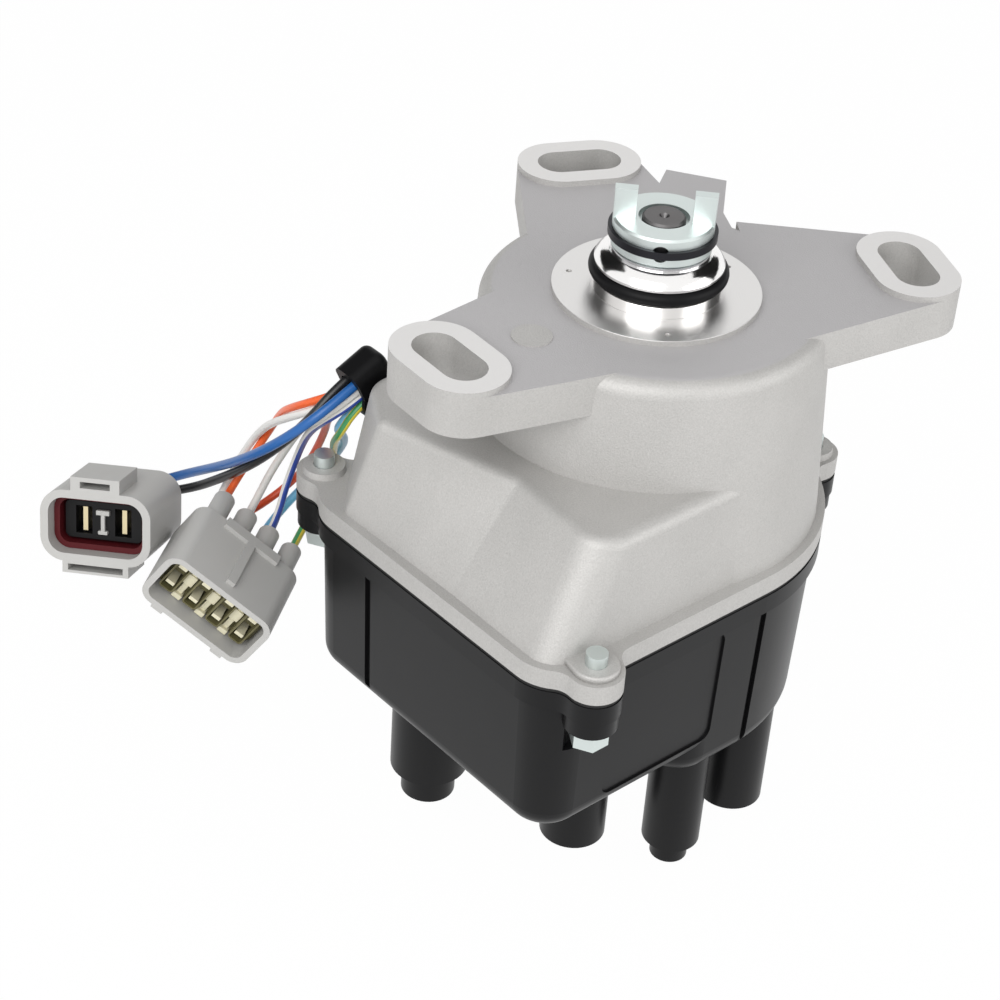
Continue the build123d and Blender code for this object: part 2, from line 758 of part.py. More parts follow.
# Pickups: a moulded body under the ceiling with a steel pole beside its wheel
pickup_poles = []
pickup_screws = []
for name, angle, (wheel_name, top, teeth) in zip(pickup_names, pickup_angles, trigger_wheels):
    foot = top - wheel_thickness - pickup_overhang
    seat_plane = Plane(
        origin=(0, 0, ceiling_z), x_dir=(cos(radians(angle)), sin(radians(angle)), 0), z_dir=(0, 0, -1)
    )
    inner = wheel_radius + air_gap + pole_length
    with BuildPart() as pickup:
        with BuildSketch(seat_plane):
            with Locations((inner, 0)):
                RectangleRounded(pickup_depth, pickup_width, 1.5, align=(Align.MIN, Align.CENTER))
        extrude(amount=ceiling_z - foot)
        with BuildSketch(seat_plane):
            with Locations(((inner + pickup_reach) / 2, 0)):
                SlotOverall(pickup_flange_length, pickup_flange_width, rotation=90)
        extrude(amount=pickup_flange_thickness)
        with BuildSketch(seat_plane):
            middle = (inner + pickup_reach) / 2
            with Locations((middle, pickup_screw_offset), (middle, -pickup_screw_offset)):
                Circle(pickup_screw_radius + seat_gap)
        extrude(amount=pickup_flange_thickness, mode=Mode.SUBTRACT)
    finish(name, pickup.part)
    pole_plane = Plane(
        origin=(0, 0, top - wheel_thickness / 2),
        x_dir=(0, 0, 1),
        z_dir=(cos(radians(angle)), sin(radians(angle)), 0),
    )
    with BuildPart() as pole:
        with BuildSketch(pole_plane.offset(wheel_radius + air_gap)):
            Rectangle(wheel_thickness, pole_width)
        extrude(amount=pole_length)
    pickup_poles.append(pole.part)
    with BuildPart() as screw_pair:
        with Locations(seat_plane.offset(pickup_flange_thickness)):
            middle = (inner + pickup_reach) / 2
            with Locations((middle, pickup_screw_offset), (middle, -pickup_screw_offset)):
                Cylinder(pickup_screw_head_radius, pickup_screw_head_height, align=standing)
                Cylinder(pickup_screw_radius, pickup_flange_thickness, align=hanging)
    pickup_screws.append(screw_pair.part)
finish("pickup_poles", Compound(children=pickup_poles))
finish("pickup_screws", Compound(children=pickup_screws))

# Igniter module: heat sink plate against the ceiling, moulded body below it
igniter_middle = igniter_near + igniter_depth / 2
igniter_screw_x = igniter_half_width + igniter_ear_reach / 2
with BuildPart() as igniter_module:
    with BuildSketch(Plane.XY.offset(ceiling_z)):
        with Locations((0, igniter_middle)):
            RectangleRounded(2 * (igniter_half_width + igniter_ear_reach), igniter_depth, 2)
        with Locations((igniter_screw_x, igniter_middle), (-igniter_screw_x, igniter_middle)):
            Circle(pickup_screw_radius + seat_gap, mode=Mode.SUBTRACT)
    extrude(amount=-igniter_plate)
    with BuildSketch(Plane.XY.offset(ceiling_z - igniter_plate)):
        with Locations((0, igniter_middle)):
            Rectangle(2 * igniter_half_width - 1, igniter_depth - 1)
    extrude(amount=igniter_plate - igniter_height)
finish("igniter_module", igniter_module.part)

with BuildPart() as igniter_screws:
    with Locations(Plane.XY.offset(ceiling_z - igniter_plate)):
        with Locations((igniter_screw_x, igniter_middle), (-igniter_screw_x, igniter_middle)):
            Cylinder(pickup_screw_head_radius, pickup_screw_head_height, align=hanging)
            Cylinder(pickup_screw_radius, igniter_plate, align=(Align.CENTER, Align.CENTER, Align.MIN))
finish("igniter_screws", igniter_screws.part)

# Dust shield between the pickups and the rotor, cut away beside the coil
with BuildPart() as dust_shield:
    with BuildSketch(Plane.XY.offset(shield_z)):
        Circle(shield_radius)
        Circle(shield_bore, mode=Mode.SUBTRACT)
        with Locations((shield_cut_x, 0)):
            Rectangle(shield_radius, 2 * shield_radius, align=(Align.MAX, Align.CENTER), mode=Mode.SUBTRACT)
    extrude(amount=-shield_thickness)
finish("dust_shield", dust_shield.part)

# Ignition coil: moulded body with a laminated core round it
with BuildPart() as ignition_coil:
    with BuildSketch(Plane.XY.offset(coil_ear_z)):
        with Locations(coil_middle):
            RectangleRounded(coil_width, coil_length, 3)
    extrude(amount=-coil_depth)
    with BuildSketch(Plane.XY.offset(coil_ear_z)):
        with Locations(*coil_ears):
            Circle(coil_ear_radius)
        with BuildLine():
            Line(coil_ears[0], coil_ears[1])
        make_hull()
        with Locations(*coil_ears):
            Circle(coil_screw_radius + screw_gap, mode=Mode.SUBTRACT)
    extrude(amount=-coil_ear_thickness)
finish("ignition_coil", ignition_coil.part)

with BuildPart() as coil_core:
    with BuildSketch(Plane.XY.offset(coil_ear_z)):
        with Locations((core_middle_x, coil_middle[1])):
            Rectangle(core_width, core_length)
    extrude(amount=core_height)
finish("coil_core", coil_core.part)

with BuildPart() as coil_screws:
    with Locations(Plane.XY.offset(coil_ear_z - coil_ear_thickness)):
        with Locations(*coil_ears):
            Cylinder(coil_screw_head_radius, coil_screw_head_height, align=hanging)
            Cylinder(coil_screw_radius, coil_ear_thickness + coil_screw_grip, align=standing)
finish("coil_screws", coil_screws.part)

# Rotor on the shaft's end, with its contact strip and screw
strip_plane = Plane(
    origin=(0, 0, rotor_foot_z),
    x_dir=(cos(radians(rotor_angle)), sin(radians(rotor_angle)), 0),
    z_dir=(0, 0, -1),
)
with BuildPart() as rotor:
    add(ring(rotor_hub_radius, 0, rotor_foot_z, rotor_seat_z))
    with BuildSketch(strip_plane):
        Circle(rotor_hub_radius)
        tip_side = rotor_arm_width / 2 - rotor_tip_round
        with Locations((rotor_arm_reach, tip_side), (rotor_arm_reach, -tip_side)):
            Circle(rotor_tip_round)
        make_hull()
        Circle(rotor_arm_reach, mode=Mode.INTERSECT)
    extrude(amount=-rotor_arm_thickness)
    seat_bore = ring(rotor_seat_radius + fit_gap, 0, rotor_seat_z - rotor_seat_length, rotor_seat_z)
    add(seat_bore, mode=Mode.SUBTRACT)
    with BuildSketch(rotor_plane):
        Circle(rotor_screw_radius + fit_gap)
    extrude(amount=rotor_hub_radius + 1, mode=Mode.SUBTRACT)
finish("rotor", rotor.part)

with BuildPart() as rotor_contact:
    with BuildSketch(strip_plane):
        with Locations((-strip_width / 2, 0)):
            Rectangle(strip_reach + strip_width / 2, strip_width, align=(Align.MIN, Align.CENTER))
        Circle(strip_reach, mode=Mode.INTERSECT)
    extrude(amount=strip_thickness)
finish("rotor_contact", rotor_contact.part)

with BuildPart() as rotor_screw:
    with BuildSketch(rotor_plane.offset(1)):
        Circle(rotor_screw_radius)
    extrude(amount=rotor_hub_radius - 1)
    with BuildSketch(rotor_plane.offset(rotor_hub_radius)):
        Circle(rotor_screw_head_radius)
    extrude(amount=pickup_screw_head_height)
finish("rotor_screw", rotor_screw.part)

# Gasket between the rim and the cap
with BuildPart() as cap_gasket:
    with BuildSketch(Plane.XY.offset(cap_top_z)):
        add(case_plan(gasket_inset, 0))
        add(case_face(rim_wall, 0), mode=Mode.SUBTRACT)
        with Locations(*ear_places):
            Circle(screw_radius + 2 * screw_gap, mode=Mode.SUBTRACT)
    extrude(amount=gasket_thickness)
finish("cap_gasket", cap_gasket.part)


def cap_shape(reach, foot_z, wall, foot_fillet):
    """Tapered D-shaped block from the lip down to a height, its foot rounded"""
    drafted = (cap_top_z - foot_z) * tan(radians(cap_draft))
    with BuildPart(mode=Mode.PRIVATE) as block:
        loft(
            sections=[
                case_face(cap_lip_step + wall + drafted, foot_z, reach),
                case_face(cap_lip_step + wall, cap_top_z, reach),
            ],
            ruled=True,
        )
        fillet(block.faces().sort_by(Axis.Z)[0].edges(), foot_fillet)
    return block.part


# Hollow of the cap, which keeps its wall behind the screw heads
with BuildPart() as cap_hollow:
    add(cap_shape(case_reach, cap_floor_z + cap_wall, cap_wall, cap_inner_fillet))
    add(cap_shape(cap_well_reach, well_floor_z + cap_wall, cap_wall, cap_inner_fillet))
    with BuildSketch(Plane.XY.offset(cap_top_z)):
        with Locations(*ear_places):
            Circle(screw_washer_radius + screw_relief + cap_wall)
    extrude(amount=-cap_ear_height - screw_relief_depth - cap_wall, mode=Mode.SUBTRACT)

# Cap: lip with three screw ears, tapered body, deep round end and four towers
draft_cos, draft_sin = cos(radians(cap_draft)), sin(radians(cap_draft))
end_wall_plane = Plane(
    origin=(cap_lip_step - case_reach, 0, cap_top_z), x_dir=(0, 1, 0), z_dir=(-draft_cos, 0, -draft_sin)
)
side_wall_plane = Plane(
    origin=(0, cap_lip_step - case_side, cap_top_z), x_dir=(1, 0, 0), z_dir=(0, -draft_cos, -draft_sin)
)
with BuildPart() as distributor_cap:
    add(cap_shape(case_reach, cap_floor_z, 0, cap_foot_fillet))
    add(cap_shape(cap_well_reach, well_floor_z, 0, cap_foot_fillet))
    extrude(case_plan(0, cap_top_z), amount=-cap_lip)
    for x, y in ear_places:
        with BuildSketch(Plane.XY.offset(cap_top_z - cap_lip)):
            with Locations((x, y)):
                Circle(ear_web_radius)
            with Locations((x * ear_root_share, y * ear_root_share)):
                Circle(ear_web_radius)
            make_hull()
        extrude(amount=cap_lip - cap_ear_height)
    for place, (base_radius, base_length), (tip_radius, tip_length), socket_radius in towers:
        with BuildSketch(Plane.XY.offset(cap_floor_z - base_length)):
            with Locations(place):
                Circle(base_radius)
        extrude(amount=base_length + cap_wall)
        with BuildSketch(Plane.XY.offset(cap_floor_z - tip_length)):
            with Locations(place):
                Circle(tip_radius)
        extrude(amount=tip_length - base_length)
    # grooves and a shallow panel in the drafted walls
    with BuildSketch(end_wall_plane):
        with Locations((end_groove_y, cap_groove_top + end_groove_length / 2)):
            Rectangle(cap_groove_width, end_groove_length)
    extrude(amount=-cap_groove_depth, mode=Mode.SUBTRACT)
    with BuildSketch(side_wall_plane):
        with Locations((side_groove_x, -cap_groove_top - side_groove_length / 2)):
            Rectangle(cap_groove_width, side_groove_length)
    extrude(amount=-cap_groove_depth, mode=Mode.SUBTRACT)
    with BuildSketch(side_wall_plane):
        with Locations((cap_panel_x, -cap_groove_top - cap_panel[1] / 2)):
            RectangleRounded(*cap_panel, cap_panel_corner)
    extrude(amount=-cap_panel_depth, mode=Mode.SUBTRACT)
    # hollow inside, room outside for the screw heads, then posts and the brush boss
    add(cap_hollow.part, mode=Mode.SUBTRACT)
    with BuildSketch(Plane.XY.offset(cap_top_z - cap_ear_height)):
        with Locations(*ear_places):
            Circle(screw_washer_radius + screw_relief)
    extrude(amount=-screw_relief_depth, mode=Mode.SUBTRACT)
    with BuildSketch(Plane.XY.offset(electrode_post_z)):
        with Locations(*[polar(angle, electrode_distance) for angle in electrode_angles]):
            Circle(electrode_post_radius)
    extrude(amount=well_floor_z + cap_wall / 2 - electrode_post_z)
    add(ring(brush_boss_radius, 0, well_floor_z + cap_wall / 2, brush_boss_z))
    add(ring(brush_radius + running_gap, 0, brush_bore_floor_z, brush_boss_z), mode=Mode.SUBTRACT)
    # sockets in the towers, narrower round their terminals, and holes for the screws
    for place, base, (tip_radius, tip_length), socket_radius in towers:
        tip_z = cap_floor_z - tip_length
        with BuildSketch(Plane.XY.offset(tip_z)):
            with Locations(place):
                Circle(socket_radius)
        extrude(amount=socket_length, mode=Mode.SUBTRACT)
        with BuildSketch(Plane.XY.offset(tip_z + socket_length)):
            with Locations(place):
                Circle(socket_radius - terminal_bore_step)
        extrude(amount=terminal_bore_length, mode=Mode.SUBTRACT)
    with BuildSketch(Plane.XY.offset(cap_top_z)):
        with Locations(*ear_places):
            Circle(screw_radius + screw_gap)
    extrude(amount=-cap_ear_height, mode=Mode.SUBTRACT)
finish("distributor_cap", distributor_cap.part)

# Electrodes on their posts, and the sleeves at the bottom of the towers
with BuildPart() as cap_electrodes:
    with BuildSketch(Plane.XY.offset(electrode_post_z)):
        with Locations(*[polar(angle, electrode_distance) for angle in electrode_angles]):
            Circle(electrode_radius)
    extrude(amount=electrode_top_z - electrode_post_z)
finish("cap_electrodes", cap_electrodes.part)

with BuildPart() as tower_terminals:
    for place, base, (tip_radius, tip_length), socket_radius in towers:
        floor_z = cap_floor_z - tip_length + socket_length + terminal_bore_length
        sleeve_radius = socket_radius - terminal_bore_step - seat_gap
        with BuildSketch(Plane.XY.offset(floor_z)):
            with Locations(place):
                Circle(sleeve_radius)
        extrude(amount=-terminal_sleeve)
        with BuildSketch(Plane.XY.offset(floor_z - terminal_base)):
            with Locations(place):
                Circle(sleeve_radius - terminal_wall)
        extrude(amount=-terminal_sleeve, mode=Mode.SUBTRACT)
finish("tower_terminals", tower_terminals.part)

# Carbon brush and its spring in the cap's centre
brush_face_z = rotor_foot_z - strip_thickness - running_gap
finish("carbon_brush", ring(brush_radius, 0, brush_face_z - brush_length, brush_face_z))

spring_top_z = brush_face_z - brush_length - spring_wire / 2 - running_gap
spring_run = spring_top_z - (brush_bore_floor_z + spring_wire / 2 + running_gap)
with BuildPart() as brush_spring:
    with BuildLine():
        coil_line = Helix(
            pitch=spring_run / spring_turns, height=spring_run, radius=brush_radius - spring_wire,
            center=(0, 0, spring_top_z - spring_run),
        )
    with BuildSketch(Plane(origin=coil_line @ 0, z_dir=coil_line % 0)):
        RegularPolygon(spring_wire / 2, 6)
    sweep()
finish("brush_spring", brush_spring.part)

# Cap screws: hexagon heads with washers, below the cap's ears
with BuildPart() as cap_screws:
    with BuildSketch(Plane.XY.offset(screw_tip_z)):
        with Locations(*ear_places):
            Circle(screw_radius)
    extrude(amount=cap_top_z - cap_ear_height - screw_tip_z)
    with BuildSketch(Plane.XY.offset(cap_top_z - cap_ear_height)):
        with Locations(*ear_places):
            Circle(screw_washer_radius)
    extrude(amount=-screw_washer_thickness)
    with BuildSketch(Plane.XY.offset(cap_top_z - cap_ear_height - screw_washer_thickness)):
        with Locations(*ear_places):
            RegularPolygon(screw_head_across / 2, 6, major_radius=False)
    extrude(amount=screw_washer_thickness - screw_head_height)
finish("cap_screws", cap_screws.part)


def face_plane(origin, facing, across):
    """Plane that looks along facing, with its X made square to it"""
    normal = Vector(*facing).normalized()
    across = Vector(*across)
    return Plane(origin=origin, x_dir=across - normal * across.dot(normal), z_dir=normal)


# Grommet: a neck in the casing's wall and a hood with the mouth for the wires
mouth_plane = face_plane(grommet_mouth, grommet_facing, (0, 1, 0))
with BuildPart() as wire_grommet:
    with BuildSketch(mouth_plane):
        RectangleRounded(grommet_width, grommet_height, grommet_round)
    extrude(amount=-grommet_length)
    fillet(wire_grommet.faces().sort_by(Axis.X)[-1].edges(), grommet_round - 1)
    with BuildSketch(mouth_plane):
        SlotOverall(mouth_height, mouth_width, rotation=90)
    extrude(amount=-mouth_depth, mode=Mode.SUBTRACT)
    with BuildSketch(grommet_hole_plane.offset(grommet_neck_start)):
        Circle(grommet_neck - fit_gap)
    extrude(amount=grommet_neck_start - grommet_neck_length)
    with BuildSketch(grommet_hole_plane):
        Circle(grommet_neck + grommet_flange)
    extrude(amount=grommet_flange_length)
    # the wires' space in the mouth stays clear of the neck
    with BuildSketch(mouth_plane.offset(-mouth_depth)):
        SlotOverall(mouth_height, mouth_width, rotation=90)
    extrude(amount=mouth_depth + grommet_neck_start, mode=Mode.SUBTRACT)
finish("wire_grommet", wire_grommet.part)

# Two-way connector: shell with a latch block and a loop, sealing ring, core and blades
two_way_plane = face_plane(two_way_face, two_way_facing, two_way_across)
two_way_holes = [(-two_way_pitch / 2, 0), (two_way_pitch / 2, 0)]
with BuildPart() as two_way_shell:
    with BuildSketch(two_way_plane):
        RectangleRounded(*two_way_size, two_way_round)
    extrude(amount=-two_way_depth)
    with BuildSketch(two_way_plane.offset(-two_way_depth)):
        with Locations(*two_way_holes):
            Circle(two_way_boss)
    extrude(amount=-two_way_boss_length)
    with BuildSketch(two_way_plane):
        with Locations((0, two_way_size[1] / 2)):
            Rectangle(*two_way_latch_size)
        with Locations((0, two_way_size[1] / 2 + two_way_latch_slot[1])):
            Rectangle(*two_way_latch_slot, mode=Mode.SUBTRACT)
    extrude(amount=-two_way_latch_length)
    with BuildSketch(two_way_plane):
        with Locations((0, -(two_way_size[1] + two_way_loop_size[1]) / 2 + seat_gap)):
            Rectangle(*two_way_loop_size)
            Rectangle(
                two_way_loop_size[0] - 2 * two_way_loop_wall, two_way_loop_size[1] - two_way_loop_wall,
                mode=Mode.SUBTRACT,
            )
    extrude(amount=-two_way_loop_length)
    with BuildSketch(two_way_plane):
        RectangleRounded(
            two_way_size[0] - 2 * two_way_wall, two_way_size[1] - 2 * two_way_wall,
            two_way_round - two_way_wall,
        )
    extrude(amount=-two_way_cavity, mode=Mode.SUBTRACT)
finish("two_way_shell", two_way_shell.part)

with BuildPart() as two_way_seal:
    with BuildSketch(two_way_plane.offset(-two_way_cavity)):
        RectangleRounded(
            two_way_size[0] - 2 * (two_way_wall + seat_gap), two_way_size[1] - 2 * (two_way_wall + seat_gap),
            two_way_round - two_way_wall,
        )
        RectangleRounded(
            two_way_core_size[0] + 2 * seat_gap, two_way_core_size[1] + 2 * seat_gap,
            two_way_core_round + seat_gap, mode=Mode.SUBTRACT,
        )
    extrude(amount=seal_band)
finish("two_way_seal", two_way_seal.part)

with BuildPart() as two_way_core:
    with BuildSketch(two_way_plane.offset(-two_way_cavity)):
        RectangleRounded(*two_way_core_size, two_way_core_round)
        with Locations(*two_way_holes):
            Rectangle(blade_size[0] + blade_room[0], blade_size[1] + blade_room[1], mode=Mode.SUBTRACT)
    extrude(amount=two_way_core_length)
finish("two_way_core", two_way_core.part)

with BuildPart() as two_way_blades:
    with BuildSketch(two_way_plane.offset(-two_way_cavity)):
        with Locations(*two_way_holes):
            Rectangle(*blade_size)
    extrude(amount=blade_length)
finish("two_way_blades", two_way_blades.part)

# Eight-way connector: shell with a ribbed top and a boss for each wire, insert and terminals
eight_way_plane = face_plane(eight_way_face, eight_way_facing, eight_way_across)
columns = [(index - 1.5) * eight_way_pitch for index in range(4)]
with BuildPart() as eight_way_shell:
    with BuildSketch(eight_way_plane):
        RectangleRounded(*eight_way_size, eight_way_round)
    extrude(amount=-eight_way_depth)
    with BuildSketch(eight_way_plane.offset(-eight_way_depth)):
        with Locations(*[(x, y) for x in columns for y in eight_way_rows]):
            Circle(eight_way_boss)
    extrude(amount=-eight_way_boss_length)
    # ribbed top: one rib along the middle and a bar across the rear, then two feet below
    with BuildSketch(eight_way_plane.offset(-eight_way_rib_start)):
        with Locations((0, eight_way_size[1] / 2)):
            Rectangle(*eight_way_rib)
    extrude(amount=eight_way_rib_start - eight_way_depth)
    with BuildSketch(eight_way_plane.offset(eight_way_bar_length - eight_way_depth)):
        with Locations((0, eight_way_size[1] / 2)):
            Rectangle(*eight_way_bar)
    extrude(amount=-eight_way_bar_length)
    with BuildSketch(eight_way_plane):
        with Locations(*[(x, -eight_way_size[1] / 2) for x in eight_way_feet]):
            Rectangle(*eight_way_foot)
    extrude(amount=-eight_way_foot_length)
    with BuildSketch(eight_way_plane):
        RectangleRounded(
            eight_way_size[0] - 2 * eight_way_wall, eight_way_size[1] - 2 * eight_way_wall,
            eight_way_round - eight_way_wall,
        )
    extrude(amount=-eight_way_cavity, mode=Mode.SUBTRACT)
finish("eight_way_shell", eight_way_shell.part)

with BuildPart() as eight_way_insert:
    with BuildSketch(eight_way_plane.offset(-eight_way_cavity)):
        RectangleRounded(
            eight_way_size[0] - 2 * (eight_way_wall + seat_gap),
            eight_way_size[1] - 2 * (eight_way_wall + seat_gap),
            eight_way_round - eight_way_wall,
        )
        with Locations(*[(x, y) for x in columns for y in terminal_rows]):
            Rectangle(
                terminal_size[0] + terminal_room[0], terminal_size[1] + terminal_room[1], mode=Mode.SUBTRACT
            )
    extrude(amount=insert_length)
finish("eight_way_insert", eight_way_insert.part)

with BuildPart() as eight_way_terminals:
    with BuildSketch(eight_way_plane.offset(-eight_way_cavity)):
        with Locations(*[(x, y) for x in columns for y in terminal_rows]):
            Rectangle(*terminal_size)
    extrude(amount=terminal_length)
finish("eight_way_terminals", eight_way_terminals.part)

# Wires: name, diameter, place in the grommet's mouth, points on the way, connector, place at its back
wire_ends = {
    "two_way": (two_way_plane, two_way_depth + two_way_boss_length),
    "eight_way": (eight_way_plane, eight_way_depth + eight_way_boss_length),
}
wires = [
    (
        "wire_blue", 2.4, (-1.6, -4.1),
        [
            (-54.2, 45.4, -33.5), (-62.0, 46.7, -38.1), (-66.2, 51.8, -44.5), (-67.5, 58.3, -50.9),
            (-67.5, 65.3, -57.0), (-66.9, 72.5, -62.9), (-66.1, 79.8, -68.5), (-65.6, 87.3, -74.0),
            (-66.4, 94.9, -79.3), (-71.9, 100.6, -82.9), (-81.5, 100.6, -81.1),
        ],
        "two_way", two_way_holes[0],
    ),
    (
        "wire_black", 2.4, (1.6, -4.1),
        [
            (-54.2, 48.6, -33.5), (-60.6, 49.6, -39.7), (-63.6, 54.1, -46.9), (-64.7, 60.0, -53.8),
            (-65.2, 66.3, -60.3), (-65.6, 73.0, -66.5), (-66.3, 79.9, -72.4), (-68.4, 86.8, -77.9),
            (-75.4, 92.7, -80.3),
        ],
        "two_way", two_way_holes[1],
    ),
    (
        "wire_orange", 2.0, (1.5, -1.8),
        [
            (-52.4, 48.5, -35.2), (-58.0, 55.3, -39.8), (-57.2, 63.4, -45.9), (-54.0, 70.7, -52.4),
            (-51.6, 77.0, -60.0), (-55.7, 79.5, -68.3), (-64.2, 76.6, -73.1),
        ],
        "eight_way", (columns[0], eight_way_rows[0]),
    ),
    (
        "wire_white_front", 2.0, (1.5, 0.3),
        [
            (-51.5, 48.5, -37.1), (-57.6, 53.9, -41.4), (-58.7, 61.4, -46.9), (-57.4, 68.8, -52.7),
            (-55.6, 75.7, -58.9), (-55.0, 81.6, -66.1), (-59.3, 83.3, -73.8), (-66.6, 79.8, -78.8),
        ],
        "eight_way", (columns[0], eight_way_rows[1]),
    ),
    (
        "wire_white_rear", 2.0, (-1.5, -1.8),
        [
            (-52.4, 45.5, -35.2), (-57.1, 49.6, -40.8), (-55.9, 56.0, -46.7), (-53.2, 62.4, -52.3),
            (-50.6, 68.4, -58.3), (-49.5, 73.6, -65.3), (-53.8, 75.1, -72.5), (-60.8, 72.0, -77.1),
        ],
        "eight_way", (columns[1], eight_way_rows[0]),
    ),
    (
        "wire_red", 2.0, (1.5, 2.4),
        [
            (-49.7, 48.5, -38.6), (-52.8, 51.2, -42.9), (-51.0, 55.8, -47.4), (-47.7, 60.6, -53.6),
            (-46.0, 65.2, -61.2),
            (-45.2, 70.0, -69.4), (-47.0, 74.4, -77.5), (-54.2, 76.6, -82.6), (-63.2, 75.2, -82.8),
        ],
        "eight_way", (columns[1], eight_way_rows[1]),
    ),
    (
        "wire_blue_striped", 2.0, (-1.5, 0.3),
        [
            (-51.5, 45.5, -37.1), (-55.1, 50.4, -42.8), (-53.5, 56.8, -48.8), (-50.8, 62.9, -54.8),
            (-48.4, 68.4, -61.1), (-47.5, 72.6, -68.8), (-51.3, 72.2, -76.4), (-57.4, 67.4, -81.1),
        ],
        "eight_way", (columns[2], eight_way_rows[0]),
    ),
    (
        "wire_light_blue", 2.2, (1.2, 4.6),
        [
            (-48.9, 48.2, -40.65), (-51.4, 50.7, -46.3), (-48.4, 54.8, -51.2), (-43.9, 57.8, -56.6),
            (-41.2, 62.6, -63.0),
            (-40.2, 68.0, -70.4), (-43.3, 72.7, -78.1), (-51.1, 73.3, -83.5), (-59.8, 70.6, -86.9),
        ],
        "eight_way", (columns[2], eight_way_rows[1]),
    ),
    (
        "wire_yellow_striped", 2.0, (-1.5, 2.4),
        [
            (-50.6, 45.5, -39.0), (-53.2, 48.0, -46.5), (-50.0, 54.4, -53.4), (-45.2, 60.6, -61.7),
            (-42.2, 65.6, -71.0), (-45.7, 66.1, -80.1), (-53.9, 62.8, -85.1),
        ],
        "eight_way", (columns[3], eight_way_rows[0]),
    ),
]
for name, diameter, slot, way, connector, hole in wires:
    plane, back = wire_ends[connector]
    start = mouth_plane.from_local_coords((slot[0], slot[1], -mouth_depth))
    end = plane.from_local_coords((hole[0], hole[1], -back))
    points = [start] + [Vector(*point) for point in way] + [end]
    radii = []
    for before, here, after in zip(points, points[1:], points[2:]):
        turn = (here - before).get_angle(after - here)
        shorter = min((here - before).length, (after - here).length)
        radii.append(bend_share * shorter / tan(radians(turn / 2)))
    with BuildPart() as wire:
        with BuildLine():
            centre_line = FilletPolyline(*points, radius=radii)
        with BuildSketch(Plane(origin=centre_line @ 0, z_dir=centre_line % 0)):
            Circle(diameter / 2)
        sweep()
    expected = pi * diameter**2 / 4 * centre_line.length
    print(f"{name} length {centre_line.length:.1f} radii {min(radii):.1f} to {max(radii):.1f}",
          f"volume share {wire.part.volume / expected:.4f}")
    finish(name, wire.part)
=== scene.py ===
# %% [markdown]
# # Ignition distributor
# The part hangs by its machined collar at the top, and its cap points down. The packed
# model is loaded as a fixed frame, and this file dresses it: a camera, the loose wires,
# soft studio light, one finish for each kind of surface, and the small pieces that the
# frame leaves out.

import json
from math import cos, pi, radians, sin

import bmesh
import bpy
from mathutils import Matrix, Vector


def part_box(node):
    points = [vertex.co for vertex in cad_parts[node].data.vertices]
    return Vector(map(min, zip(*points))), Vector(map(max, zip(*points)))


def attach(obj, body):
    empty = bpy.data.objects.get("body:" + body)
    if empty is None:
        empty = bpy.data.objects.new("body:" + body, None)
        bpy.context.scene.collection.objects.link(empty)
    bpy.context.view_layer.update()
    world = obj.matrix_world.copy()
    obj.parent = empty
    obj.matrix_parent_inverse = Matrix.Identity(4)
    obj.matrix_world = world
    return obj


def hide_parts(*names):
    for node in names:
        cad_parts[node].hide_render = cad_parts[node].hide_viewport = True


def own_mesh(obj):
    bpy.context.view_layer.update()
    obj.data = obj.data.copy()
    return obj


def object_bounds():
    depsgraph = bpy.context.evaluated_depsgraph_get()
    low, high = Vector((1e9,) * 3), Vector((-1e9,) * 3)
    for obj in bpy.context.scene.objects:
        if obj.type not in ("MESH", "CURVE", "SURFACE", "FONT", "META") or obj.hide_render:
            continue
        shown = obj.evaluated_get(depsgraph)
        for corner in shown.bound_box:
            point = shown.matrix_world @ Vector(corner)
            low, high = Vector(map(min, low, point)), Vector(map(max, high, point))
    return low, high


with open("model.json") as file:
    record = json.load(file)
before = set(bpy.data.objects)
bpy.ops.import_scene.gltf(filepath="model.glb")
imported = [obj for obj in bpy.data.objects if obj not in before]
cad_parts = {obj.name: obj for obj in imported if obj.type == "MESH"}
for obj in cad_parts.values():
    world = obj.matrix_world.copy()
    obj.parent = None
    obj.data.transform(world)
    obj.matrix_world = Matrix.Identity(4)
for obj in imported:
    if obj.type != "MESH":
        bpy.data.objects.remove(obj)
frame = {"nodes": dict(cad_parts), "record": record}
cad_low, cad_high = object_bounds()
MM = 0.001
print("frame size in mm:", [round(side / MM) for side in cad_high - cad_low])

# %% [markdown]
# ## Camera
# The photograph looks down on the part from the front left with a long lens. Its direction
# was worked out from the rings round the shaft and the parallel edges of the casing. The
# three directions of the camera make its turn directly, which is exact, where aiming it at
# a point would lose the slight roll of the picture.

# %% Set the camera
camera_place = (-0.35005, -0.33177, 0.27679)
camera_right = Vector((0.76088, -0.64627, 0.05812))
camera_up = Vector((0.33789, 0.47108, 0.81481))
camera_back = camera_right.cross(camera_up)
CAMERA_LENS = 87.03             # focal length and sensor in millimetres
SENSOR_WIDTH = 36.0
NEAREST_SEEN = 0.01             # in metres

camera_data = bpy.data.cameras.new("camera")
camera_data.lens = CAMERA_LENS
camera_data.sensor_width = SENSOR_WIDTH
camera_data.clip_start = NEAREST_SEEN
camera = bpy.data.objects.new("camera", camera_data)
camera_axes = Matrix((camera_right, camera_up, camera_back)).transposed()
camera.matrix_world = Matrix.Translation(camera_place) @ camera_axes.to_4x4()
bpy.context.scene.collection.objects.link(camera)
bpy.context.scene.camera = camera
bpy.context.scene.view_settings.view_transform = "Standard"
print("camera distance in mm:", round(camera.location.length / MM))

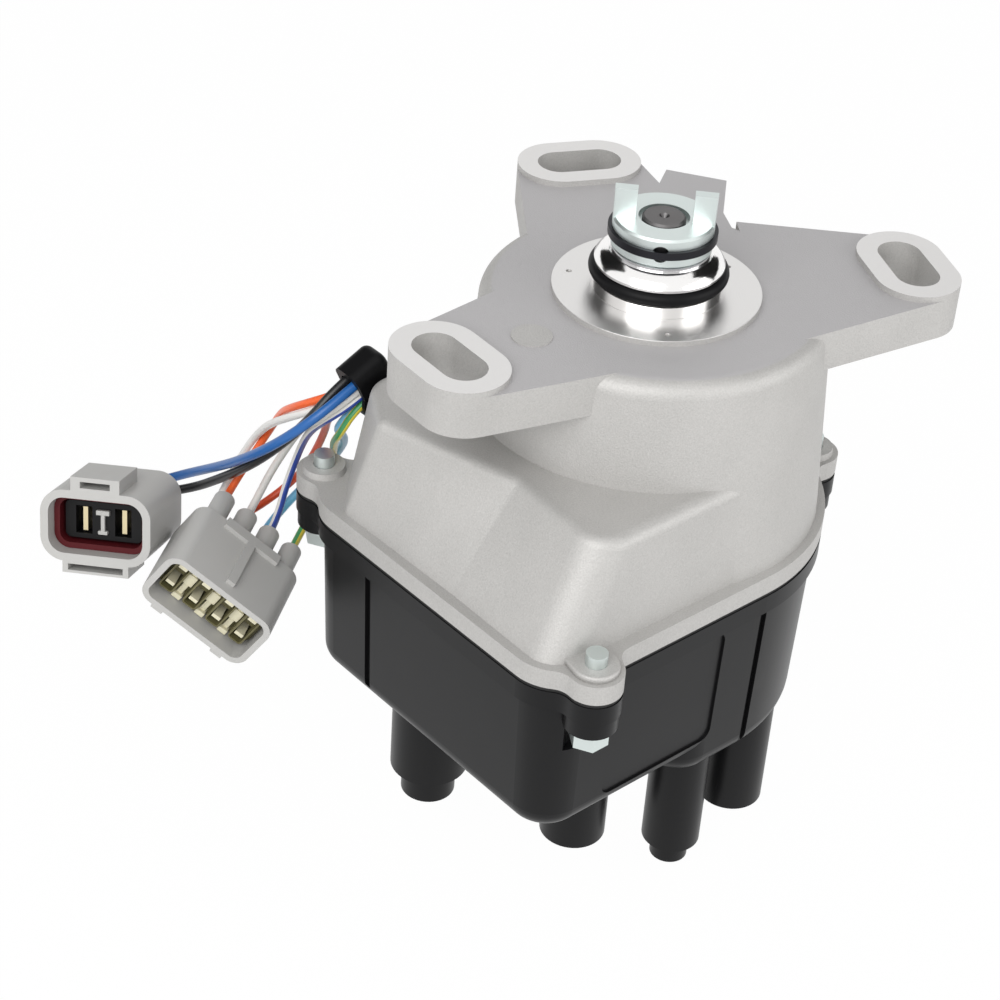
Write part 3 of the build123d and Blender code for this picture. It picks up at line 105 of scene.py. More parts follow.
# %% [markdown]
# ## Wires
# Nine wires leave the rubber grommet and end in two connectors. Each is a curve through the
# same points as the frame's wire, in millimetres here and in metres on the curve. A NURBS
# curve rounds every corner of its points by itself, and its bevel gives it a round section,
# so a wire needs no modelling of faces at all. The bevel's depth is 1 and each point's
# radius is the wire's own, because a curve's box grows by its points' radii.

# %% Wire routes
# piece, the frame's wire that it stands for, diameter, points on the way
wire_routes = [
    ("blue_lead", "wire_blue", 2.4, [
        (-46.0, 45.4, -29.8), (-54.2, 45.4, -33.5), (-62.0, 46.7, -38.1), (-66.2, 51.8, -44.5),
        (-67.5, 58.3, -50.9), (-67.5, 65.3, -57.0), (-66.9, 72.5, -62.9), (-66.1, 79.8, -68.5),
        (-65.6, 87.3, -74.0), (-66.4, 94.9, -79.3), (-71.9, 100.6, -82.9), (-81.5, 100.6, -81.1),
        (-87.7, 96.1, -78.6),
    ]),
    ("black_lead", "wire_black", 2.4, [
        (-46.0, 48.6, -29.8), (-54.2, 48.6, -33.5), (-60.6, 49.6, -39.7), (-63.6, 54.1, -46.9),
        (-64.7, 60.0, -53.8), (-65.2, 66.3, -60.3), (-65.6, 73.0, -66.5), (-66.3, 79.9, -72.4),
        (-68.4, 86.8, -77.9), (-75.4, 92.7, -80.3), (-81.6, 88.2, -77.9),
    ]),
    ("orange_wire", "wire_orange", 2.0, [
        (-45.1, 48.5, -31.9), (-52.4, 48.5, -35.2), (-58.0, 55.3, -39.8), (-57.2, 63.4, -45.9),
        (-54.0, 70.7, -52.4), (-51.6, 77.0, -60.0), (-55.7, 79.5, -68.3), (-64.2, 76.6, -73.1),
        (-69.8, 72.4, -73.1),
    ]),
    ("white_wire_front", "wire_white_front", 2.0, [
        (-44.2, 48.5, -33.8), (-51.5, 48.5, -37.1), (-57.6, 53.9, -41.4), (-58.7, 61.4, -46.9),
        (-57.4, 68.8, -52.7), (-55.6, 75.7, -58.9), (-55.0, 81.6, -66.1), (-59.3, 83.3, -73.8),
        (-66.6, 79.8, -78.8), (-72.2, 75.6, -78.8),
    ]),
    ("white_wire_rear", "wire_white_rear", 2.0, [
        (-45.1, 45.5, -31.9), (-52.4, 45.5, -35.2), (-57.1, 49.6, -40.8), (-55.9, 56.0, -46.7),
        (-53.2, 62.4, -52.3), (-50.6, 68.4, -58.3), (-49.5, 73.6, -65.3), (-53.8, 75.1, -72.5),
        (-60.8, 72.0, -77.1), (-66.4, 67.8, -77.1),
    ]),
    ("red_wire", "wire_red", 2.0, [
        (-43.3, 48.5, -35.7), (-49.7, 48.5, -38.6), (-52.8, 51.2, -42.9), (-51.0, 55.8, -47.4),
        (-47.7, 60.6, -53.6), (-46.0, 65.2, -61.2), (-45.2, 70.0, -69.4), (-47.0, 74.4, -77.5),
        (-54.2, 76.6, -82.6), (-63.2, 75.2, -82.8), (-68.8, 71.0, -82.8),
    ]),
    ("blue_white_wire", "wire_blue_striped", 2.0, [
        (-44.2, 45.5, -33.8), (-51.5, 45.5, -37.1), (-55.1, 50.4, -42.8), (-53.5, 56.8, -48.8),
        (-50.8, 62.9, -54.8), (-48.4, 68.4, -61.1), (-47.5, 72.6, -68.8), (-51.3, 72.2, -76.4),
        (-57.4, 67.4, -81.1), (-63.0, 63.2, -81.1),
    ]),
    ("light_blue_wire", "wire_light_blue", 2.2, [
        (-42.4, 48.2, -37.7), (-48.9, 48.2, -40.6), (-51.4, 50.7, -46.3), (-48.4, 54.8, -51.2),
        (-43.9, 57.8, -56.6), (-41.2, 62.6, -63.0), (-40.2, 68.0, -70.4), (-43.3, 72.7, -78.1),
        (-51.1, 73.3, -83.5), (-59.8, 70.6, -86.9), (-65.4, 66.4, -86.9),
    ]),
    ("yellow_green_wire", "wire_yellow_striped", 2.0, [
        (-43.3, 45.5, -35.7), (-50.6, 45.5, -39.0), (-53.2, 48.0, -46.5), (-50.0, 54.4, -53.4),
        (-45.2, 60.6, -61.7), (-42.2, 65.6, -71.0), (-45.7, 66.1, -80.1), (-53.9, 62.8, -85.1),
        (-59.5, 58.6, -85.1),
    ]),
]
WIRE_SIDES = 4                  # the bevel's resolution, which sets the sides of the section
WIRE_STEPS = 8                  # straight pieces between two points
WIRE_ORDER = 3                  # each stretch follows three points
POINT_WEIGHT = 1.0              # how hard a point pulls the curve


def wire_curve(name, diameter, points):
    """One wire: a smooth curve with a round section."""
    data = bpy.data.curves.new(name, "CURVE")
    data.dimensions = "3D"
    data.bevel_depth = 1.0
    data.bevel_resolution = WIRE_SIDES
    data.resolution_u = WIRE_STEPS
    data.use_fill_caps = True
    spline = data.splines.new("NURBS")
    spline.points.add(len(points) - 1)
    for place, point in zip(spline.points, points):
        place.co = (*(Vector(point) * MM), POINT_WEIGHT)
        place.radius = diameter * MM / 2
    spline.order_u = WIRE_ORDER
    spline.use_endpoint_u = True
    wire = bpy.data.objects.new(name, data)
    bpy.context.scene.collection.objects.link(wire)
    return wire


def length_along(wire):
    """Length of the curve's centre line, measured on a copy without its round section."""
    bare = wire.data.copy()
    bare.bevel_depth = 0
    probe = bpy.data.objects.new("probe", bare)
    bpy.context.scene.collection.objects.link(probe)
    line = probe.to_mesh()
    run = sum(
        (line.vertices[edge.vertices[0]].co - line.vertices[edge.vertices[1]].co).length
        for edge in line.edges
    )
    probe.to_mesh_clear()
    bpy.data.objects.remove(probe)
    bpy.data.curves.remove(bare)
    return run


# %% Lay the wires
wires = {}
for name, node, diameter, points in wire_routes:
    wires[name] = wire_curve(name, diameter, points)
    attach(wires[name], "root")
    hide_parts(node)
print("wires:", ", ".join(wires))

# %% [markdown]
# ## Floor and light
# The photograph is a cut-out on white. A pale floor under the cap's towers catches a faint
# shadow, and camera rays see floor and world as white. The light is a plain studio: a wide
# soft box high on the left, a second one on the right, and a white room. Polished metal
# only looks polished when it has something dark to reflect, so two black cards stand
# behind the part at its left and right, seen by reflections alone. The camera looks down
# at 35 degrees, so the collar's walls mirror what stands 35 degrees up.

# %% Floor
WHITE = (1, 1, 1, 1)
FLOOR_MARGIN = 0.004           # the floor lies this far under the lowest tower, in metres
FLOOR_SIZE = 6.0
FLOOR_WHITE = (0.93, 0.93, 0.93, 1)
FLOOR_ROUGHNESS = 0.9
SHADOW_SHARE = 0.02            # the part of the floor's look that is lit and shadowed


def flat_plane(name, size, place, direction=(0, 0, 1)):
    """A square that faces a direction, with its place in its mesh."""
    bm = bmesh.new()
    bmesh.ops.create_grid(bm, x_segments=1, y_segments=1, size=size / 2)
    turned = Vector(direction).to_track_quat("Z", "Y").to_matrix()
    bmesh.ops.rotate(bm, cent=(0, 0, 0), matrix=turned, verts=bm.verts)
    bmesh.ops.translate(bm, vec=place, verts=bm.verts)
    mesh = bpy.data.meshes.new(name)
    bm.to_mesh(mesh)
    bm.free()
    plane = bpy.data.objects.new(name, mesh)
    bpy.context.scene.collection.objects.link(plane)
    return plane


def feed(tree, socket, value):
    """Gives an input its value: another socket, a colour or a plain number."""
    if isinstance(value, bpy.types.NodeSocket):
        tree.links.new(value, socket)
    elif isinstance(value, tuple):
        socket.default_value = (*value, 1)
    else:
        socket.default_value = value


def math_node(tree, operation, *values):
    """A Math node whose inputs are sockets or plain numbers; returns its output."""
    node = tree.nodes.new("ShaderNodeMath")
    node.operation = operation
    for socket, value in zip(node.inputs, values):
        feed(tree, socket, value)
    return node.outputs[0]


def white_to_camera(tree, lit_socket, output_socket, lit_share, glow_node):
    """Mixes a plain white glow over a lit surface, for the rays that see the background."""
    path = tree.nodes.new("ShaderNodeLightPath")
    seen = math_node(tree, "MAXIMUM", path.outputs["Is Camera Ray"], path.outputs["Is Glossy Ray"])
    seen = math_node(tree, "MAXIMUM", seen, path.outputs["Is Transmission Ray"])
    glow = tree.nodes.new(glow_node)
    glow.inputs["Color"].default_value = WHITE
    mix = tree.nodes.new("ShaderNodeMixShader")
    feed(tree, mix.inputs[0], math_node(tree, "MULTIPLY", seen, 1 - lit_share))
    feed(tree, mix.inputs[1], lit_socket)
    feed(tree, mix.inputs[2], glow.outputs[0])
    tree.links.new(mix.outputs[0], output_socket)


floor = flat_plane("floor", FLOOR_SIZE, (0, 0, cad_low.z - FLOOR_MARGIN))
floor_paint = bpy.data.materials.new("floor_paint")
floor_paint.use_nodes = True
floor_shader = floor_paint.node_tree.nodes["Principled BSDF"]
floor_shader.inputs["Base Color"].default_value = FLOOR_WHITE
floor_shader.inputs["Roughness"].default_value = FLOOR_ROUGHNESS
floor_output = floor_paint.node_tree.nodes["Material Output"]
white_to_camera(floor_paint.node_tree, floor_shader.outputs[0], floor_output.inputs["Surface"],
                SHADOW_SHARE, "ShaderNodeEmission")
floor.data.materials.append(floor_paint)
print("floor height in mm:", round((cad_low.z - FLOOR_MARGIN) / MM, 1))

# %% Room, lamps and black cards
ROOM_STRENGTH = 0.55
world = bpy.data.worlds.new("room")
bpy.context.scene.world = world
world.use_nodes = True
room = world.node_tree.nodes["Background"]
room.inputs["Color"].default_value = WHITE
room.inputs["Strength"].default_value = ROOM_STRENGTH
room_output = world.node_tree.nodes["World Output"]
white_to_camera(world.node_tree, room.outputs[0], room_output.inputs["Surface"],
                0, "ShaderNodeBackground")


def soft_box(name, place, target, size, power):
    """A square lamp that faces a point."""
    data = bpy.data.lights.new(name, "AREA")
    data.shape = "SQUARE"
    data.size = size
    data.energy = power
    lamp = bpy.data.objects.new(name, data)
    away = Vector(place) - Vector(target)
    turned = away.to_track_quat("Z", "Y").to_matrix()
    lamp.matrix_world = Matrix.Translation(place) @ turned.to_4x4()
    bpy.context.scene.collection.objects.link(lamp)


middle = (cad_low + cad_high) / 2
# name, place, size in metres and power in watts
soft_boxes = [
    ("left_box", (-0.75, -0.35, 0.55), 0.8, 7.6),
    ("right_box", (0.45, -0.85, 0.25), 0.75, 3.7),
]
for name, place, size, power in soft_boxes:
    soft_box(name, place, middle, size, power)

CARD_BLACK = (0.01, 0.01, 0.01, 1)
card_paint = bpy.data.materials.new("card_paint")
card_paint.use_nodes = True
card_shader = card_paint.node_tree.nodes["Principled BSDF"]
card_shader.inputs["Base Color"].default_value = CARD_BLACK
card_shader.inputs["Roughness"].default_value = 1.0
card_shader.inputs["Specular IOR Level"].default_value = 0.0
CARD_SIZE = 0.50
CARD_DISTANCE = 0.6
CARD_RISE = radians(35)
# name and turn round the shaft
cards = [("card_left", radians(105)), ("card_right", radians(-10))]
for name, turn in cards:
    level = CARD_DISTANCE * cos(CARD_RISE)
    place = Vector((level * cos(turn), level * sin(turn), CARD_DISTANCE * sin(CARD_RISE)))
    card = flat_plane(name, CARD_SIZE, place, -place)
    card.data.materials.append(card_paint)
    card.visible_camera = False
    card.visible_diffuse = False
    card.visible_shadow = False
print("lamps:", len(soft_boxes), "black cards:", len(cards))

# %% [markdown]
# ## Surface effects
# Three effects are node groups: the fine grain of a sandblasted casting, the rings that a
# lathe leaves round the shaft's axis, and the slight waviness of moulded plastic, which
# comes back in every plastic and rubber. Each group puts out a height for a Bump node, and
# the casting's group also a tone that mottles its colour.

# %% Node helpers


def group(name, inputs, outputs):
    """An empty node group with number inputs (name, value) and number outputs."""
    tree = bpy.data.node_groups.new(name, "ShaderNodeTree")
    for socket, value in inputs:
        made = tree.interface.new_socket(socket, in_out="INPUT", socket_type="NodeSocketFloat")
        made.default_value = value
    for socket in outputs:
        tree.interface.new_socket(socket, in_out="OUTPUT", socket_type="NodeSocketFloat")
    return tree, tree.nodes.new("NodeGroupInput"), tree.nodes.new("NodeGroupOutput")


def noise(tree, place, scale, detail=2.0):
    """Noise on a place socket, with a scale that is a number or a socket."""
    node = tree.nodes.new("ShaderNodeTexNoise")
    node.inputs["Detail"].default_value = detail
    feed(tree, node.inputs["Vector"], place)
    feed(tree, node.inputs["Scale"], scale)
    return node.outputs["Fac"]


def on_piece(tree):
    """Place on the piece in metres, as a socket."""
    return tree.nodes.new("ShaderNodeTexCoord").outputs["Object"]


# %% Casting grain, turning rings and moulded waviness
CLOUD_TO_GRAIN = 40             # a cloud is this many grains wide
CLOUD_HEIGHT = 1.5
GRAIN_TONE = 0.7                # share of the mottling that comes from the fine grain
cast_grain, ins, outs = group("cast grain", [("Grain per metre", 2600)], ["Height", "Tone"])
place = on_piece(cast_grain)
fine_scale = ins.outputs["Grain per metre"]
fine = noise(cast_grain, place, fine_scale, detail=3)
cloud = noise(cast_grain, place, math_node(cast_grain, "DIVIDE", fine_scale, CLOUD_TO_GRAIN))
raised_cloud = math_node(cast_grain, "MULTIPLY", cloud, CLOUD_HEIGHT)
cast_grain.links.new(math_node(cast_grain, "ADD", fine, raised_cloud), outs.inputs["Height"])
fine_tone = math_node(cast_grain, "MULTIPLY", fine, GRAIN_TONE)
cloud_tone = math_node(cast_grain, "MULTIPLY", cloud, 1 - GRAIN_TONE)
cast_grain.links.new(math_node(cast_grain, "ADD", fine_tone, cloud_tone), outs.inputs["Tone"])

RING_UNIT = 2 * pi / 20         # how far apart a Wave texture puts its rings at a scale of 1
turning, ins, outs = group("turning rings", [("Ring spacing in mm", 0.3)], ["Height"])
rings = turning.nodes.new("ShaderNodeTexWave")
rings.wave_type = "RINGS"
rings.rings_direction = "Z"
rings.inputs["Distortion"].default_value = 0.0
turning.links.new(on_piece(turning), rings.inputs["Vector"])
spacing = math_node(turning, "MULTIPLY", ins.outputs["Ring spacing in mm"], MM)
turning.links.new(math_node(turning, "DIVIDE", RING_UNIT, spacing), rings.inputs["Scale"])
turning.links.new(rings.outputs["Fac"], outs.inputs["Height"])

PORES_TO_WAVES = 20             # pores lie this many times closer than the waves
PORE_HEIGHT = 0.06
moulded, ins, outs = group("moulded waviness", [("Waves per metre", 120)], ["Height"])
place = on_piece(moulded)
wave_scale = ins.outputs["Waves per metre"]
wave = noise(moulded, place, wave_scale, detail=1)
pores = noise(moulded, place, math_node(moulded, "MULTIPLY", wave_scale, PORES_TO_WAVES))
low_pores = math_node(moulded, "MULTIPLY", pores, PORE_HEIGHT)
moulded.links.new(math_node(moulded, "ADD", wave, low_pores), outs.inputs["Height"])
print("effects:", ", ".join(effect.name for effect in (cast_grain, turning, moulded)))


def placed(tree, effect, **values):
    """Puts an effect group in a material, with its own values."""
    node = tree.nodes.new("ShaderNodeGroup")
    node.node_tree = effect
    for name, value in values.items():
        node.inputs[name.replace("_", " ")].default_value = value
    return node


def bump(tree, height, depth):
    """A Bump node that feeds the shader's normal; depth is in metres."""
    node = tree.nodes.new("ShaderNodeBump")
    node.inputs["Strength"].default_value = 1.0
    node.inputs["Distance"].default_value = depth
    tree.links.new(height, node.inputs["Height"])
    tree.links.new(node.outputs["Normal"], tree.nodes["Principled BSDF"].inputs["Normal"])


def finish(name, colour, metallic=0.0, roughness=0.5):
    """A plain finish; returns the material, its tree and its shader."""
    material = bpy.data.materials.new(name)
    material.use_nodes = True
    shader = material.node_tree.nodes["Principled BSDF"]
    shader.inputs["Base Color"].default_value = (*colour, 1)
    shader.inputs["Metallic"].default_value = metallic
    shader.inputs["Roughness"].default_value = roughness
    return material, material.node_tree, shader


MIX_FIRST, MIX_SECOND, MIX_RESULT = 6, 7, 2     # the colour sockets of a Mix node


def mixed(tree, share, first, second):
    """Mixes two colours or colour sockets by a share socket; returns the colour."""
    node = tree.nodes.new("ShaderNodeMix")
    node.data_type = "RGBA"
    feed(tree, node.inputs["Factor"], share)
    feed(tree, node.inputs[MIX_FIRST], first)
    feed(tree, node.inputs[MIX_SECOND], second)
    return node.outputs[MIX_RESULT]


def between(tree, value, low, high):
    """Rises from 0 at low to 1 at high, and falls where low is the larger."""
    node = tree.nodes.new("ShaderNodeMapRange")
    node.inputs["From Min"].default_value = low
    node.inputs["From Max"].default_value = high
    tree.links.new(value, node.inputs["Value"])
    return node.outputs["Result"]


# %% [markdown]
# ## Cast aluminium
# The casing is one casting, sandblasted to a soft pale gray. Its seat round the collar was
# turned on a lathe and the collar was polished, and the flat pads of the ears were milled.
# All of that is one node of the frame, so one material tells the zones apart by their
# distance from the shaft's axis, their height above the seat and the way they face. The
# upward face of the plate between the ears is painted a lighter gray: painted light on a top face.

# %% Finish of the casting
CAST_GRAY = (0.385, 0.378, 0.365)
CAST_LIGHT = (0.53, 0.52, 0.505)
# painted light: a lighter gray for the plate's upward face, where the light from above falls
PLATE_PAINTED_LIGHT_GRAY = (0.465, 0.455, 0.46)
MILLED = (0.74, 0.73, 0.72)
POLISHED = (0.93, 0.92, 0.91)
SEAT_EDGE = 24.25 * MM          # radius of the turned seat
COLLAR_EDGE = 15.6 * MM         # radius inside which the collar is polished
PLATE_TOP = -1.5 * MM           # height of the plate between the ears
STEP = 0.25 * MM                # how soft the border between two zones is
UP_STARTS, UP_ENDS = 0.9, 0.99  # upward share of a normal that counts as facing up
TONE_DARK, TONE_LIGHT = 0.2, 0.8
CAST_METAL = 0.35               # Metallic of the sandblasted skin
PAD_METAL = 0.6                 # and of the milled pads, where the turned seat has 1
CAST_ROUGHNESS = 0.55
SMOOTHER_SEAT = 0.27            # what each working takes off the roughness
SMOOTHER_PAD = 0.12
SMOOTHER_POLISH = 0.16
RING_SPACING = 0.35
RING_HEIGHT = 0.12
RINGS_POLISHED = 0.85           # share of the turning rings that polishing takes away
CAST_DEPTH = 0.09 * MM

casting, tree, shader = finish("cast_aluminium", CAST_GRAY)
place = on_piece(tree)
axes = tree.nodes.new("ShaderNodeSeparateXYZ")
tree.links.new(place, axes.inputs[0])
height = axes.outputs["Z"]
flat = tree.nodes.new("ShaderNodeCombineXYZ")
tree.links.new(axes.outputs["X"], flat.inputs["X"])
tree.links.new(axes.outputs["Y"], flat.inputs["Y"])
from_axis = tree.nodes.new("ShaderNodeVectorMath")
from_axis.operation = "LENGTH"
tree.links.new(flat.outputs[0], from_axis.inputs[0])
radius = from_axis.outputs["Value"]

facing = tree.nodes.new("ShaderNodeSeparateXYZ")
tree.links.new(tree.nodes.new("ShaderNodeTexCoord").outputs["Normal"], facing.inputs[0])
upward = between(tree, facing.outputs["Z"], UP_STARTS, UP_ENDS)

on_top = between(tree, height, -STEP, -STEP / 2)
above_plate = between(tree, height, PLATE_TOP - STEP, PLATE_TOP - STEP / 2)
below_plate = between(tree, height, PLATE_TOP + STEP, PLATE_TOP + STEP / 2)
near_plate = math_node(tree, "MULTIPLY", above_plate, below_plate)
# painted light: the plate's upward-facing top between the ears, which gets the lighter painted gray
plate_top_painted_light = math_node(tree, "MULTIPLY", near_plate, upward)
inside_seat = between(tree, radius, SEAT_EDGE + STEP, SEAT_EDGE)
machined = math_node(tree, "MULTIPLY", on_top, inside_seat)
outside_seat = math_node(tree, "SUBTRACT", 1.0, inside_seat)
flat_top = math_node(tree, "MULTIPLY", on_top, upward)
milled_pad = math_node(tree, "MULTIPLY", flat_top, outside_seat)
polished = math_node(tree, "MULTIPLY", between(tree, height, STEP / 2, STEP),
                     between(tree, radius, COLLAR_EDGE + STEP, COLLAR_EDGE))

grain = placed(tree, cast_grain)
tone = between(tree, grain.outputs["Tone"], TONE_DARK, TONE_LIGHT)
worked = math_node(tree, "MAXIMUM", machined, milled_pad)
colour = mixed(tree, tone, CAST_GRAY, CAST_LIGHT)
# the plate's gray is painted light on a top face; the milled and polished colours are real finishes
for zone, zone_colour in ((plate_top_painted_light, PLATE_PAINTED_LIGHT_GRAY), (worked, MILLED), (polished, POLISHED)):
    colour = mixed(tree, zone, colour, zone_colour)
tree.links.new(colour, shader.inputs["Base Color"])

bare = math_node(tree, "MAXIMUM", machined, math_node(tree, "MULTIPLY", milled_pad, PAD_METAL))
tree.links.new(math_node(tree, "MAXIMUM", bare, CAST_METAL), shader.inputs["Metallic"])
rough = CAST_ROUGHNESS
worked_zones = ((machined, SMOOTHER_SEAT), (milled_pad, SMOOTHER_PAD), (polished, SMOOTHER_POLISH))
for zone, smoother in worked_zones:
    rough = math_node(tree, "SUBTRACT", rough, math_node(tree, "MULTIPLY", zone, smoother))
tree.links.new(rough, shader.inputs["Roughness"])

rings = placed(tree, turning, Ring_spacing_in_mm=RING_SPACING)
unworked = math_node(tree, "SUBTRACT", 1.0, worked)
cast_height = math_node(tree, "MULTIPLY", grain.outputs["Height"], unworked)
polished_away = math_node(tree, "MULTIPLY", polished, RINGS_POLISHED)
turned_share = math_node(tree, "SUBTRACT", machined, polished_away)
turned_height = math_node(tree, "MULTIPLY", rings.outputs["Height"],
                          math_node(tree, "MULTIPLY", turned_share, RING_HEIGHT))
bump(tree, math_node(tree, "ADD", cast_height, turned_height), CAST_DEPTH)
print("nodes in the casting's finish:", len(tree.nodes))

# %% [markdown]
# ## Other metals
# Screws and the drive coupling are zinc plated: bright, faintly blue, with a little
# unevenness in the gloss. The shaft and its bearing are plain steel, the bush is bronze,
# and the contacts are brass. They need a colour, a full Metallic and their own gloss.

# %% Metal finishes
finishes = {"cast_aluminium": casting}
SMEARS_PER_METRE = 260


def worked_metal(name, colour, roughness, unevenness):
    """A bare metal whose gloss varies a little over the surface."""
    material, tree, shader = finish(name, colour, 1.0, roughness)
    gloss = tree.nodes.new("ShaderNodeMapRange")
    gloss.inputs["To Min"].default_value = roughness - unevenness
    gloss.inputs["To Max"].default_value = roughness + unevenness
    smears = noise(tree, on_piece(tree), SMEARS_PER_METRE, detail=3)
    tree.links.new(smears, gloss.inputs["Value"])
    tree.links.new(gloss.outputs["Result"], shader.inputs["Roughness"])
    finishes[name] = material


worked_metal("zinc_plate", (0.68, 0.74, 0.725), 0.42, 0.07)
worked_metal("shaft_steel", (0.15, 0.145, 0.145), 0.42, 0.08)
worked_metal("bearing_steel", (0.62, 0.62, 0.63), 0.18, 0.05)
worked_metal("spring_steel", (0.035, 0.035, 0.04), 0.35, 0.05)
worked_metal("laminated_iron", (0.20, 0.20, 0.21), 0.45, 0.10)
worked_metal("bronze", (0.50, 0.31, 0.14), 0.38, 0.08)
worked_metal("contact_brass", (0.72, 0.62, 0.40), 0.30, 0.06)
print("metal finishes:", len(finishes))

# %% [markdown]
# ## Plastics and rubber
# The cap is black filled plastic with a satin skin that shows the soft boxes as long pale
# bands. The connectors are gray nylon, the rings and the grommet are rubber. A moulded
# skin is never quite flat, and its waviness is what breaks up the reflections.

# %% Plastic and rubber finishes


def moulded_finish(name, colour, roughness, skin_depth=0.02 * MM, waves=120, mirror=0.5):
    """A moulded plastic or rubber with its own gloss, skin and share of mirrored light."""
    material, tree, shader = finish(name, colour, 0.0, roughness)
    shader.inputs["Specular IOR Level"].default_value = mirror
    skin = placed(tree, moulded, Waves_per_metre=waves)
    bump(tree, skin.outputs["Height"], skin_depth)
    finishes[name] = material


moulded_finish("black_plastic", (0.006, 0.006, 0.0065), 0.34, 0.05 * MM, 60, mirror=0.2)
moulded_finish("black_rubber", (0.005, 0.005, 0.0055), 0.42, mirror=0.12)
moulded_finish("gasket_rubber", (0.012, 0.012, 0.012), 0.75)
moulded_finish("epoxy", (0.016, 0.016, 0.018), 0.22)
moulded_finish("brown_plastic", (0.10, 0.045, 0.02), 0.45)
moulded_finish("carbon", (0.02, 0.02, 0.02), 0.6)
moulded_finish("gray_plastic", (0.45, 0.445, 0.43), 0.46, 0.02 * MM, 200)
moulded_finish("maroon_rubber", (0.085, 0.007, 0.010), 0.5, mirror=0.25)
moulded_finish("olive_plastic", (0.13, 0.118, 0.052), 0.5)
moulded_finish("cream_plastic", (0.72, 0.68, 0.50), 0.5)
print("finishes without the wires':", len(finishes))

# %% [markdown]
# ## Wire insulation
# The leads are soft PVC, each in one colour, and two of them carry a thin stripe along
# their length, on both sides. A curve's own UV map runs along the wire in one direction and
# round it in the other, so a stripe is a band of that second direction.

# %% Wire finishes
wire_colours = {
    "insulation_blue": (0.012, 0.11, 0.36),
    "insulation_black": (0.012, 0.012, 0.013),
    "insulation_orange": (0.86, 0.13, 0.026),
    "insulation_white": (0.78, 0.77, 0.74),
    "insulation_red": (0.72, 0.085, 0.025),
    "insulation_light_blue": (0.20, 0.58, 0.88),
    "insulation_blue_white": (0.03, 0.07, 0.36),
    "insulation_yellow_green": (0.72, 0.60, 0.06),
}
stripes = {
    "insulation_blue_white": (0.78, 0.77, 0.74),
    "insulation_yellow_green": (0.05, 0.28, 0.10),
}
STRIPE_SHARE = 0.4              # of half the way round
WIRE_ROUGHNESS = 0.32
for name, colour in wire_colours.items():
    moulded_finish(name, colour, WIRE_ROUGHNESS)
for name, stripe in stripes.items():
    tree = finishes[name].node_tree
    around = tree.nodes.new("ShaderNodeSeparateXYZ")
    tree.links.new(tree.nodes.new("ShaderNodeTexCoord").outputs["UV"], around.inputs[0])
    half_turn = math_node(tree, "FRACT", math_node(tree, "MULTIPLY", around.outputs["Y"], 2))
    band = math_node(tree, "LESS_THAN", half_turn, STRIPE_SHARE)
    tree.links.new(mixed(tree, band, wire_colours[name], stripe),
                   tree.nodes["Principled BSDF"].inputs["Base Color"])
print("wire colours:", len(wire_colours), "striped:", len(stripes))

# %% Put the finishes on
slot_of = {part["node"]: part["material_slot"] for part in frame["record"]["subparts"]}
for node, slot in slot_of.items():
    mesh = frame["nodes"][node].data
    mesh.materials.clear()
    mesh.materials.append(finishes[slot])
for name, node, _, _ in wire_routes:
    wires[name].data.materials.append(finishes[slot_of[node]])
print("pieces with a finish:", len(slot_of))

# %% [markdown]
# ## Connector details
# The frame keeps the connectors' large shapes. The small ones are drawn here, each in the
# connector's own directions: across its open face, up, and out of it. A matrix with those
# three directions puts the finished shape where the connector is, so every size below is
# a plain measure on the connector in millimetres. Keys and rails are softened boxes, and
# the rubber seal and the slots' linings are short tubes: four loops of edges, each bridged
# to the next.

# %% Shapes on a connector
SUNK = 0.2                      # how far a raised detail reaches into the face below it
BOTH_SIDES = Vector((2, 2))     # a wall counts twice across and twice up
CORNER_STEPS = 6
CIRCLE_STEPS = 96


def face_frame(place, facing, across):
    """Matrix from millimetres on a connector's open face to metres in the frame."""
    out = Vector(facing).normalized()
    side = Vector(across)
    side = (side - out * side.dot(out)).normalized()
    turned = Matrix((side, out.cross(side), out)).transposed()
    return Matrix.Translation(Vector(place) * MM) @ turned.to_4x4() @ Matrix.Scale(MM, 4)


def add_piece(name, bm, placing, material, smooth=False):
    """Turns a shape into a piece of the part; the matrix puts it in its place in metres."""
    bmesh.ops.transform(bm, matrix=placing, verts=bm.verts)
    bmesh.ops.recalc_face_normals(bm, faces=bm.faces)
    for polygon in bm.faces:
        polygon.smooth = smooth
    mesh = bpy.data.meshes.new(name)
    bm.to_mesh(mesh)
    bm.free()
    piece = bpy.data.objects.new(name, mesh)
    bpy.context.scene.collection.objects.link(piece)
    piece.data.materials.append(finishes[material])
    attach(piece, "root")
    return piece


def blocks(boxes, face_height, edge):
    """Boxes (low x, high x, low y, high y, how proud) on a face, with softened edges."""
    bm = bmesh.new()
    back = face_height - SUNK
    for low_x, high_x, low_y, high_y, proud in boxes:
        front = face_height + proud
        size = Matrix.Diagonal((high_x - low_x, high_y - low_y, front - back, 1))
        centre = Vector(((low_x + high_x) / 2, (low_y + high_y) / 2, (back + front) / 2))
        bmesh.ops.create_cube(bm, size=1, matrix=Matrix.Translation(centre) @ size)
    bmesh.ops.bevel(bm, geom=list(bm.edges), offset=edge, segments=2, affect="EDGES",
                    profile=0.5, material=-1)
    return bm


def rectangle_loop(bm, size, corner, place):
    """A loop of edges: a rectangle with round corners, its middle at a place."""
    made = bmesh.ops.create_grid(bm, x_segments=1, y_segments=1, size=0.5)
    bmesh.ops.scale(bm, vec=(*size, 1), verts=made["verts"])
    bmesh.ops.translate(bm, vec=place, verts=made["verts"])
    bmesh.ops.bevel(bm, geom=made["verts"], offset=corner, segments=CORNER_STEPS,
                    affect="VERTICES", profile=0.5, material=-1)
    [face] = bm.faces
    loop = list(face.edges)
    bmesh.ops.delete(bm, geom=[face], context="FACES_ONLY")
    return loop


